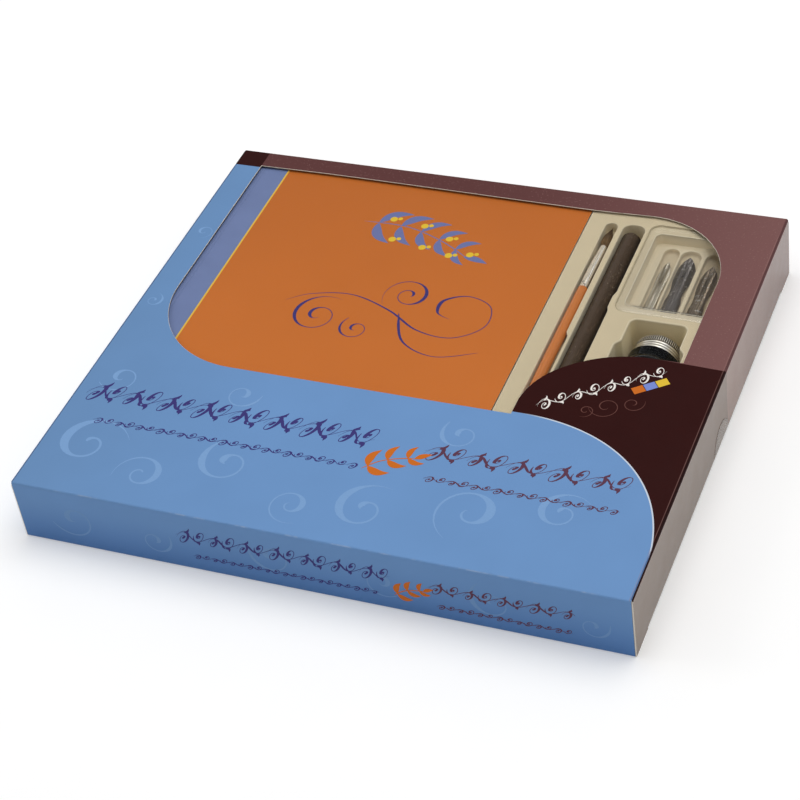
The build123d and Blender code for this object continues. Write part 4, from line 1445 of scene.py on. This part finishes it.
# ------------------------------------------------------------------------ the nibs
class SETBOX_OT_nibs(bpy.types.Operator):
    """Finish the three pressed nibs"""

    bl_idname = "set_box.nibs"
    bl_label = "Nibs"

    def execute(self, context):
        group = settings("tools")
        for side, tone in (("left", group.steel_grey), ("middle", group.steel), ("right", group.steel_brown)):
            nib = copied(f"{side}_nib", f"{side}_pressed_nib")
            smooth(nib, 40)
            steel = pressed_steel(f"{side}_nib_steel", tone)
            finished(nib, [steel], "carton", "nib_steel", f"{side}_nib")
        return {"FINISHED"}


def pressed_steel(name, tone):
    """Steel with a tempered skin and grinding marks, and lighter patches that are partly worn steel and
    partly painted glints.
    """
    finish = Finish(name, tone, 0.3, Metallic=0.6)
    cloudy = finish.shaded(tone, 0.12, finish.noise(5 * MM, 2.0))
    ground = finish.noise(0.5 * MM, 2.0, finish.stretched(0.12, 1.0, 1.0))
    # Lighter patches: partly worn steel, partly painted glints.
    glints_and_wear = finish.both(finish.above(finish.noise(2.6 * MM, 2.0), 0.62, 0.05), 0.5)
    finish.paint(finish.mix(glints_and_wear, finish.shaded(cloudy, 0.06, ground), srgb(206, 204, 200)))
    finish.rough(0.24, 0.38, finish.noise(2 * MM))
    return finish.material


# ------------------------------------------------------------------ the ink bottle
bottle_low, bottle_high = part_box("ink_bottle")
BOTTLE_AXIS = axis_of(bottle_low, bottle_high)
BOTTLE_R = (bottle_high.x - bottle_low.x) / 2


class SETBOX_OT_bottle(bpy.types.Operator):
    """Blow the ink bottle, and dress its ink and the cap's liner"""

    bl_idname = "set_box.bottle"
    bl_label = "Ink bottle"

    def execute(self, context):
        base, mouth_y = bottle_low.y, bottle_high.y
        wall, foot = 1.8 * MM, 2.2 * MM
        shoulder, collar, collar_end = 20.5 * MM, 26.4 * MM, 33.4 * MM
        collar_r, neck_r, mouth_r = 14.3 * MM, 10.3 * MM, 7.6 * MM
        dish_y = base + 0.8 * MM
        profile = [(dish_y, 0.0), (dish_y, BOTTLE_R - 5 * MM), (base, BOTTLE_R - 4 * MM)]
        for turn in evenly(math.pi / 2, 0, 6):
            profile.append((base + foot * (1 - math.sin(turn)), BOTTLE_R - foot * (1 - math.cos(turn))))
        for share in evenly(0, 1, 8):
            sloped_in = (BOTTLE_R - collar_r) * share**2
            profile.append((shoulder + (collar - shoulder) * share, BOTTLE_R - sloped_in))
        profile += [
            (collar + 0.4 * MM, collar_r),
            (collar_end - 0.6 * MM, collar_r),
            (collar_end - 0.1 * MM, collar_r - 0.5 * MM),
            (collar_end, neck_r + 0.6 * MM),
            (collar_end + 0.4 * MM, neck_r),
            (mouth_y - 0.4 * MM, neck_r),
            (mouth_y, neck_r - 0.4 * MM),
            (mouth_y, mouth_r + 0.3 * MM),
            (mouth_y - 0.3 * MM, mouth_r),
            (collar, mouth_r),
            (shoulder, BOTTLE_R - wall),
            (base + wall, BOTTLE_R - wall),
            (base + wall, 0.0),
        ]
        bottle = turned("bottle", profile, BOTTLE_AXIS, 72)
        smooth(bottle)
        finished(bottle, [self.glass()], "carton", "bottle_glass", "ink_bottle")
        black, pale = srgb(10, 11, 16), srgb(222, 220, 212)
        ink = grained("black_ink", black, 0.05, 0.3, 8 * MM, IOR=1.34, Specular_IOR_Level=0.1)
        dress("ink_fill", ink.material)
        foam = grained("liner_foam", pale, 0.7, 0.06, 0.3 * MM, relief=0.05 * MM)
        dress("ink_cap_liner", foam.material)
        return {"FINISHED"}

    def glass(self):
        """Bottle glass, stained by the ink behind it."""
        clearness = {"IOR": 1.5, "Transmission_Weight": 0.2, "Specular_IOR_Level": 0.05}
        finish = grained("bottle_glass", srgb(4, 6, 9), 0.03, 0.12, 9 * MM, **clearness)
        finish.bump(finish.noise(7 * MM, 1.0), 0.15 * MM, 0.4)
        return finish.material


# The cap: its bore, its grip, the rolled rings below it with sharp grooves between, and its knurling.
BORE_R, GRIP_R = 11.3 * MM, 12.5 * MM
RINGS, RING_LENGTH, RING_R, RING_SWELL = 3, 1.75 * MM, 12.3 * MM, 0.8 * MM
RIDGES, RIDGE_HEIGHT = 72, 0.36 * MM


class SETBOX_OT_cap(bpy.types.Operator):
    """Turn the aluminium cap, with its rolled rings and knurled grip"""

    bl_idname = "set_box.cap"
    bl_label = "Ink bottle cap"

    def execute(self, context):
        start, end = (corner.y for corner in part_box("ink_bottle_cap"))
        profile = [(start + 0.3 * MM, BORE_R), (start, BORE_R + 0.3 * MM), (start, 12.6 * MM)]
        for number in range(RINGS):
            for share in evenly(0, 1, 8)[1:]:
                swell = math.sin(math.pi * share) ** 0.5 if share < 1 else 0.0
                along = start + 0.1 * MM + (number + share) * RING_LENGTH
                profile.append((along, RING_R + RING_SWELL * swell))
        grip_start, grip_end = start + 5.8 * MM, end - 1.1 * MM
        profile += [
            (grip_start, GRIP_R),
            (grip_end, GRIP_R),
            (end - 0.5 * MM, 12.3 * MM),
            (end - 0.12 * MM, 11.8 * MM),
            (end, 11.2 * MM),
            (end, 10.2 * MM),
            (end - 0.25 * MM, 9.9 * MM),
            (end - 0.25 * MM, 0.0),
            (end - 1.3 * MM, 0.0),
            (end - 1.3 * MM, BORE_R),
        ]
        cap = turned("cap_shell", profile, BOTTLE_AXIS, 2 * RIDGES)
        self.knurl(cap, grip_start, grip_end)
        smooth(cap, 28)
        finished(cap, [self.aluminium()], "cap", "cap_metal", "ink_bottle_cap")
        return {"FINISHED"}

    def knurl(self, cap, start, end):
        """Raises every other face of the grip into a ridge."""
        cx, cz = BOTTLE_AXIS

        def on_ridge(face):
            place = middle(face)
            reach = math.hypot(place.x - cx, place.z - cz)
            if not (start < place.y < end and reach > GRIP_R - 0.15 * MM):
                return False
            turn = math.degrees(math.atan2(place.z - cz, place.x - cx)) % 360
            return int(turn / (180 / RIDGES)) % 2 == 0

        edit(cap)
        choose(cap, "faces", on_ridge)
        bpy.ops.mesh.inset(thickness=0.08 * MM, depth=RIDGE_HEIGHT, use_individual=True)
        bpy.ops.object.mode_set(mode="OBJECT")

    def aluminium(self):
        """Turned aluminium with fine tool marks round its axis, painted shade in the grooves between its
        rings, a painted highlight along it and painted shade on its flanks.
        """
        pale = settings("tools").cap
        finish = Finish("turned_aluminium", pale, 0.28, Metallic=0.7)
        marks = finish.noise(0.25 * MM, 3.0, finish.stretched(0.02, 1.0, 0.02))
        dull = finish.noise(4 * MM, 2.0)
        reach = finish.reach(BOTTLE_AXIS)
        # Painted shade in the grooves between the rings.
        grooves = finish.both(finish.below(reach, 12.72 * MM, 0.14 * MM), finish.above(reach, 12.1 * MM))
        field = finish.shaded(finish.shaded(pale, 0.08, marks), 0.05, dull)
        # Painted highlight along the cap and painted shade on its flanks.
        light, shade = srgb(255, 253, 248), srgb(164, 152, 132)
        field = finish.lit_round(field, BOTTLE_AXIS[0], 12.8 * MM, 0.45, 0.16, light, shade)
        finish.paint(finish.mix(grooves, field, srgb(84, 78, 68)))
        finish.rough(0.2, 0.3, dull)
        return finish.material


# --------------------------------------------------------------------- ornaments
PRINT_THICK = 0.04 * MM
# Each coat of ink lies a little above the one before it, and each stroke of a coat above the last few.
COAT_LIFT, STROKE_LIFT, STROKE_LAYERS = 0.02 * MM, 0.002 * MM, 8
# How far the running scrolls on the blue slant to the right, per unit of height.
SCROLL_SLANT = 0.45


def on_top(u, v, lift):
    """A place on the carton's top."""
    return u, v, top_z + lift


def on_front(u, v, lift):
    """A place on the carton's front, v upwards."""
    return u, -side_y - lift, v


def on_right_end(u, v, lift):
    """A place on the carton's right end, u towards the back and v upwards."""
    return end_x + lift, u, v


def on_lid(u, v, lift):
    """A place on the flange of the nibs' clear cover."""
    return u, v, LID_FLANGE_Z + lift


def on_book(u, v, lift):
    """A place on the book's cover."""
    return u, v, book_high.z + lift


def through(points, steps=10):
    """A smooth path through given points."""
    rows = [Vector(p) for p in (points[0], *points, points[-1])]
    path = []
    for first, start, end, last in zip(rows, rows[1:], rows[2:], rows[3:]):
        for step in range(steps):
            t = step / steps
            square, cube = 2 * first - 5 * start + 4 * end - last, 3 * start - first - 3 * end + last
            path.append(0.5 * (2 * start + (end - first) * t + square * t**2 + cube * t**3))
    return path + [rows[-1]]


def spiral(centre, radius, start, turns, inner=0.12):
    """A path that winds in towards a centre; the angle is in degrees and turns may be negative."""
    path = []
    for share in evenly(0, 1, int(26 * abs(turns)) + 4):
        angle = math.radians(start) + 2 * math.pi * turns * share
        reach = radius * (1 - (1 - inner) * share**0.8)
        path.append(Vector((centre[0] + reach * math.cos(angle), centre[1] + reach * math.sin(angle))))
    return path


def heading(path, index):
    """Which way a path goes at one of its points."""
    return (path[min(index + 1, len(path) - 1)] - path[max(index - 1, 0)]).normalized()


class Pen:
    """Draws pen strokes on one face of the set, in millimetres from an origin, at an angle."""

    def __init__(self, place, coat=1):
        self.place = place
        self.coat = coat
        self.parts = []
        self.at((0, 0))

    def at(self, origin, degrees=0.0, slant=0.0):
        """Moves, turns and slants what is drawn next."""
        self.origin = Vector(origin)
        self.turn = Matrix.Rotation(math.radians(degrees), 2) @ Matrix(((1, slant), (0, 1)))
        return self

    def put(self, point):
        """A drawn point's place in the model."""
        u, v = (self.origin + self.turn @ Vector(point)) * MM
        drawn = len(self.parts)
        layer = 1 + (drawn - 1) % STROKE_LAYERS if drawn else 0
        return self.place(u, v, self.coat * COAT_LIFT + layer * STROKE_LIFT)

    def ribbon(self, path, widths):
        """A band along a path, as wide at each point as its width says."""
        sides = [[], []]
        for index, (point, width) in enumerate(zip(path, widths)):
            along = heading(path, index)
            left = Vector((-along.y, along.x))
            for side, direction in zip(sides, (-1, 1)):
                side.append(self.put(point + left * direction * width / 2))
        self.parts.append(loft("stroke", sides, closed=False))

    def stroke(self, path, thick, thin=0.35):
        """A pointed pen's stroke: thick where it comes down, thin where it goes up, fine at its ends."""
        widths = []
        for index in range(len(path)):
            down = max(0.0, -(self.turn @ heading(path, index)).normalized().y)
            share = index / (len(path) - 1)
            ends = min(1.0, 6 * share + 0.15, 6 * (1 - share) + 0.15)
            widths.append((thin + (thick - thin) * down**1.6) * ends)
        self.ribbon(path, widths)

    def leaf(self, start, degrees, length, width, bend=0.18):
        """A pointed leaf."""
        along = Vector((math.cos(math.radians(degrees)), math.sin(math.radians(degrees))))
        side = Vector((-along.y, along.x))
        path, widths = [], []
        for share in evenly(0, 1, 12):
            sag = bend * math.sin(math.pi * share)
            path.append(Vector(start) + along * length * share + side * length * sag)
            widths.append(width * math.sin(math.pi * share**0.8) + 0.03)
        self.ribbon(path, widths)

    def dot(self, centre, radius):
        """A round dot."""
        clear_selection()
        bpy.ops.mesh.primitive_circle_add(vertices=20, fill_type="NGON")
        spot = bpy.context.object
        for vertex in spot.data.vertices:
            vertex.co = self.put(Vector(centre) + Vector(vertex.co[:2]) * radius)
        self.parts.append(spot)

    def quad(self, corners):
        """A flat patch with straight sides, its corners counterclockwise."""
        low_left, low_right, high_right, high_left = (self.put(corner) for corner in corners)
        self.parts.append(loft("patch", [[low_left, low_right], [high_left, high_right]], closed=False))

    def vine(self, length, height, waves, thick, leaves=True):
        """A running scroll: a waving stem, with a tendril curled into each bay and leaves at each crest."""
        half, sway = length / waves, 0.15 * height
        shares = evenly(0, 1, 14 * waves)
        stem = [Vector((length * share, sway * math.sin(math.pi * waves * share))) for share in shares]
        self.stroke(stem, thick * 0.8)
        for bay in range(waves):
            up = 1 if bay % 2 == 0 else -1
            size = 1 - 0.14 * (bay % 3)
            centre = Vector((half * (bay + 0.55), -up * 0.10 * height))
            tall = max(1.0, 0.40 * height / (0.46 * half))
            curl = [
                Vector((point.x, centre.y + (point.y - centre.y) * tall))
                for point in spiral(centre, 0.46 * half * size, 180, -up * 1.55)
            ]
            self.stroke(curl, thick)
            self.dot(centre, thick * 0.45)
            if leaves:
                crest = (half * (bay + 0.5), up * sway)
                self.leaf(crest, up * (66 - 14 * (bay % 2)), 0.24 * height * size, thick * 0.95, -up * 0.2)
                self.leaf(crest, up * 20, 0.15 * height, thick * 0.8, up * 0.2)

    def sprig(self, length, pairs, leaf_length, leaf_width):
        """A stalk with pairs of leaves."""
        stalk = ((0, 0), (0.35, 0.10), (0.7, 0.08), (1, 0))
        self.stroke(through([(length * u, length * v) for u, v in stalk]), 0.9, 0.6)
        for pair in range(pairs):
            share = 0.12 + 0.74 * pair / max(1, pairs - 1)
            foot = (length * share, length * 0.10 * math.sin(math.pi * share))
            size = 1 - 0.35 * share
            self.leaf(foot, 48, leaf_length * size, leaf_width * size)
            self.leaf(foot, -38, leaf_length * size, leaf_width * size, -0.18)
        self.leaf((length * 0.97, 0), 4, leaf_length * 0.7, leaf_width * 0.7, 0.05)

    def done(self, name, base, slot="printed_board", body="carton"):
        """Joins the strokes, gives them their film of ink and their material."""
        piece = joined(name, self.parts)
        thicken(piece, PRINT_THICK)
        finish = grained(name + "_ink", base, 0.36, 0.07, 0.8 * MM, Specular_IOR_Level=0.08)
        finish.bump(finish.noise(0.22 * MM), 0.004 * MM)
        finished(piece, [finish.material], body, slot)


class SETBOX_OT_ornaments(bpy.types.Operator):
    """Print the scrolls, sprigs and lozenges on the carton and the book"""

    bl_idname = "set_box.ornaments"
    bl_label = "Ornaments"

    def execute(self, context):
        inks = settings("inks")
        self.pale_swirls(inks)
        self.scrolls(inks)
        self.sprigs(inks)
        self.lobe(inks)
        self.book_print(inks)
        self.seal_edge()
        self.lid_edges()
        return {"FINISHED"}

    def pale_swirls(self, inks):
        """Large pale curls behind the rest of the print: centre, radius, first angle and turns of each."""
        top = (
            ((-134, -108), 21, 20, 1.35), ((-98, -122), 15, 200, -1.4), ((-58, -104), 17, 120, 1.3),
            ((-16, -124), 13, 300, -1.5), ((20, -118), 18, 60, 1.35), ((70, -108), 20, 250, -1.3),
            ((112, -98), 15, 30, 1.4), ((-140, -58), 12, 210, 1.3), ((-72, -56), 11, 10, -1.3),
            ((48, -58), 12, 140, 1.3), ((-152, 4), 6, 80, -1.3), ((-150.5, 66), 6.5, 260, 1.3),
        )
        front = (
            ((-128, 19), 14, 200, 1.2), ((-84, 15), 10, 30, -1.3), ((-20, 20), 13, 160, 1.3),
            ((36, 17), 11, 330, -1.3), ((92, 18), 13, 120, 1.3), ((140, 15), 9, 20, -1.2),
        )
        for name, place, curls, thick, ink in (
            ("pale_swirls", on_top, top, 0.24, inks.pale),
            ("front_swirls", on_front, front, 0.22, inks.pale_front),
        ):
            pen = Pen(place)
            for centre, radius, start, turns in curls:
                pen.stroke(spiral(centre, radius, start, turns, 0.1), radius * thick, radius * 0.06)
            pen.done(name, ink)

    def scrolls(self, inks):
        """The dark running scrolls, large above and small below.

        Each has its place, its length and height, its count of waves and its thickness.
        """
        dark, plum = inks.violet, inks.plum
        for name, face, ink, large, small in (
            ("top_scroll", on_top, dark, (-153, -71, 160, 23, 16, 2.0), (-140, -91, 146, 7.5, 25, 0.9)),
            ("top_scroll_right", on_top, plum, (34, -73, 104, 19, 10, 1.8), (40, -91, 98, 7, 17, 0.9)),
            ("front_scroll", on_front, dark, (-71, 22.5, 112, 15.5, 14, 1.4), (-64, 9.5, 98, 5.4, 21, 0.75)),
            ("front_scroll_right", on_front, plum, (60, 20, 72, 12.5, 9, 1.25), (63, 8, 67, 5.2, 14, 0.75)),
        ):
            pen = Pen(face, 2)
            for (u, v, length, height, waves, thick), leaves in ((large, True), (small, False)):
                pen.at((u, v), 0, SCROLL_SLANT).vine(length, height, waves, thick, leaves)
            pen.done(name, ink)

    def sprigs(self, inks):
        """Small orange sprigs between the scrolls."""
        for name, place, foot, turn, sizes in (
            ("top_sprig", on_top, (8, -92), 28, (27, 3, 13, 4.6)),
            ("front_sprig", on_front, (42, 10), 22, (17, 3, 8.5, 3.2)),
        ):
            pen = Pen(place, 3).at(foot, turn)
            pen.sprig(*sizes)
            pen.done(name, inks.orange)

    def lobe(self, inks):
        """A white running scroll across the lobe, over faint curls, with three lozenges."""
        faint = Pen(on_top)
        curls = (((110, -22), 9, 190, 1.4), ((122, -17), 6.5, 30, -1.3), ((101, -27), 5, 250, 1.3))
        for centre, radius, start, turns in curls:
            faint.stroke(spiral(centre, radius, start, turns, 0.15), 0.5, 0.35)
        faint.done("lobe_curls", inks.faint, "maroon_board")
        white = Pen(on_top, 2).at((76, -29), 35, 0.35)
        white.vine(68, 13, 8, 1.15)
        white.done("lobe_scroll", inks.white, "maroon_board")
        first_place, step, half_u, half_v = Vector((121.8, -6.4)), Vector((5.06, 3.83)), 3.0, 2.45
        lozenges = (("orange", inks.orange), ("blue", inks.lozenge_blue), ("yellow", inks.yellow))
        for number, (name, ink) in enumerate(lozenges):
            patch = Pen(on_top, 2).at(first_place + step * number, 38)
            patch.quad(block(half_u, half_v))
            patch.done(name + "_lozenge", ink, "maroon_board")

    def seal_edge(self):
        """A thin grey line along the edge of the round seal."""
        low, high = (corner.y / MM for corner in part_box("round_seal"))
        centre, radius = (high + low) / 2, (high - low) / 2 - 0.15
        turns = (math.radians(turn) for turn in range(8, 173, 4))
        path = [Vector((centre + radius * math.cos(turn), radius * math.sin(turn))) for turn in turns]
        pen = Pen(on_right_end)
        pen.ribbon(path, [0.3] * len(path))
        pen.done("seal_edge", srgb(92, 72, 68), "clear_film", "right_end_panel")

    def lid_edges(self):
        """Thin painted lines on the clear cover: painted shade along its outer edge and a painted highlight
        round the mouth of its pan.
        """
        # The outer edge gets a darker line of painted shade, the pan's mouth a painted highlight.
        for name, corners, inset, tone in (
            ("lid_rim", NIB_REBATE, 0.5, srgb(158, 146, 120)),
            ("lid_mouth", NIB_RECESS, 0.15, srgb(232, 224, 204)),
        ):
            ring = [Vector(point) / MM for point in flat_of(rounded(grown(corners, -inset * MM), 0.0))]
            ring += ring[:1]
            pen = Pen(on_lid)
            pen.ribbon(ring, [0.24] * len(ring))
            pen.done(name, tone, "clear_film")

    def book_print(self, inks):
        """The book's flourish of two linked spirals, and a leafy sprig above it."""
        pen = Pen(on_book, 2)
        stem = (
            (-82, 22), (-70, 30), (-48, 34), (-24, 26), (-4, 14), (16, 12),
            (30, 24), (28, 40), (14, 46), (2, 40), (2, 30), (10, 26),
        )
        tail = ((-18, 25), (-8, 4), (12, -4), (34, 4))
        for path, thick, thin in (
            (through(stem, 14), 2.1, 0.5),
            (spiral((-60, 14), 17, 60, 1.7, 0.1), 2.0, 0.45),
            (spiral((-18, 40), 15, 220, -1.7, 0.1), 2.0, 0.45),
            (spiral((-36, 8), 10, 130, 1.4, 0.12), 1.5, 0.4),
            (through(tail, 14), 1.6, 0.4),
        ):
            pen.stroke(path, thick, thin)
        pen.done("book_flourish", inks.violet, "book_cover")
        foot, turn = (-66, 96), -16
        leaves = Pen(on_book).at(foot, turn)
        leaves.sprig(70, 5, 21, 6.0)
        leaves.done("book_sprig", inks.sprig_blue, "book_cover")
        buds = Pen(on_book, 3).at(foot, turn)
        for u, v in ((14, 9), (24, -6), (33, 12), (43, -4), (52, 9), (60, -3), (70, 3)):
            buds.dot((u, v), 2.1)
            buds.dot((u + 3, v + 2), 1.3)
        buds.done("book_buds", inks.yellow, "book_cover")


# ---------------------------------------------------------------------- operators
OPERATORS = (
    SETBOX_OT_stage,
    SETBOX_OT_carton,
    SETBOX_OT_ends,
    SETBOX_OT_tray,
    SETBOX_OT_book,
    SETBOX_OT_brush,
    SETBOX_OT_pen,
    SETBOX_OT_nibs,
    SETBOX_OT_bottle,
    SETBOX_OT_cap,
    SETBOX_OT_ornaments,
)


class SETBOX_PT_parts(bpy.types.Panel):
    """Lists the steps that build the set box"""

    bl_idname = "SETBOX_PT_parts"
    bl_label = "Set Box"
    bl_space_type = "VIEW_3D"
    bl_region_type = "UI"
    bl_category = "Set Box"

    def draw(self, context):
        for operator in OPERATORS:
            self.layout.operator(operator.bl_idname)


CLASSES = (*SETTINGS.values(), *OPERATORS, SETBOX_PT_parts)


def register():
    """Registers the classes and hangs the settings on the scene."""
    for cls in CLASSES:
        bpy.utils.register_class(cls)
    for group, cls in SETTINGS.items():
        setattr(bpy.types.Scene, "set_box_" + group, PointerProperty(type=cls))


def unregister():
    """Takes the settings and classes away again."""
    for group in SETTINGS:
        delattr(bpy.types.Scene, "set_box_" + group)
    for cls in reversed(CLASSES):
        bpy.utils.unregister_class(cls)


def main():
    """Registers the add-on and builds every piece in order."""
    register()
    for operator in OPERATORS:
        group, step = operator.bl_idname.split(".")
        getattr(getattr(bpy.ops, group), step)()
    clear_selection()


if __name__ == "__main__":
    main()
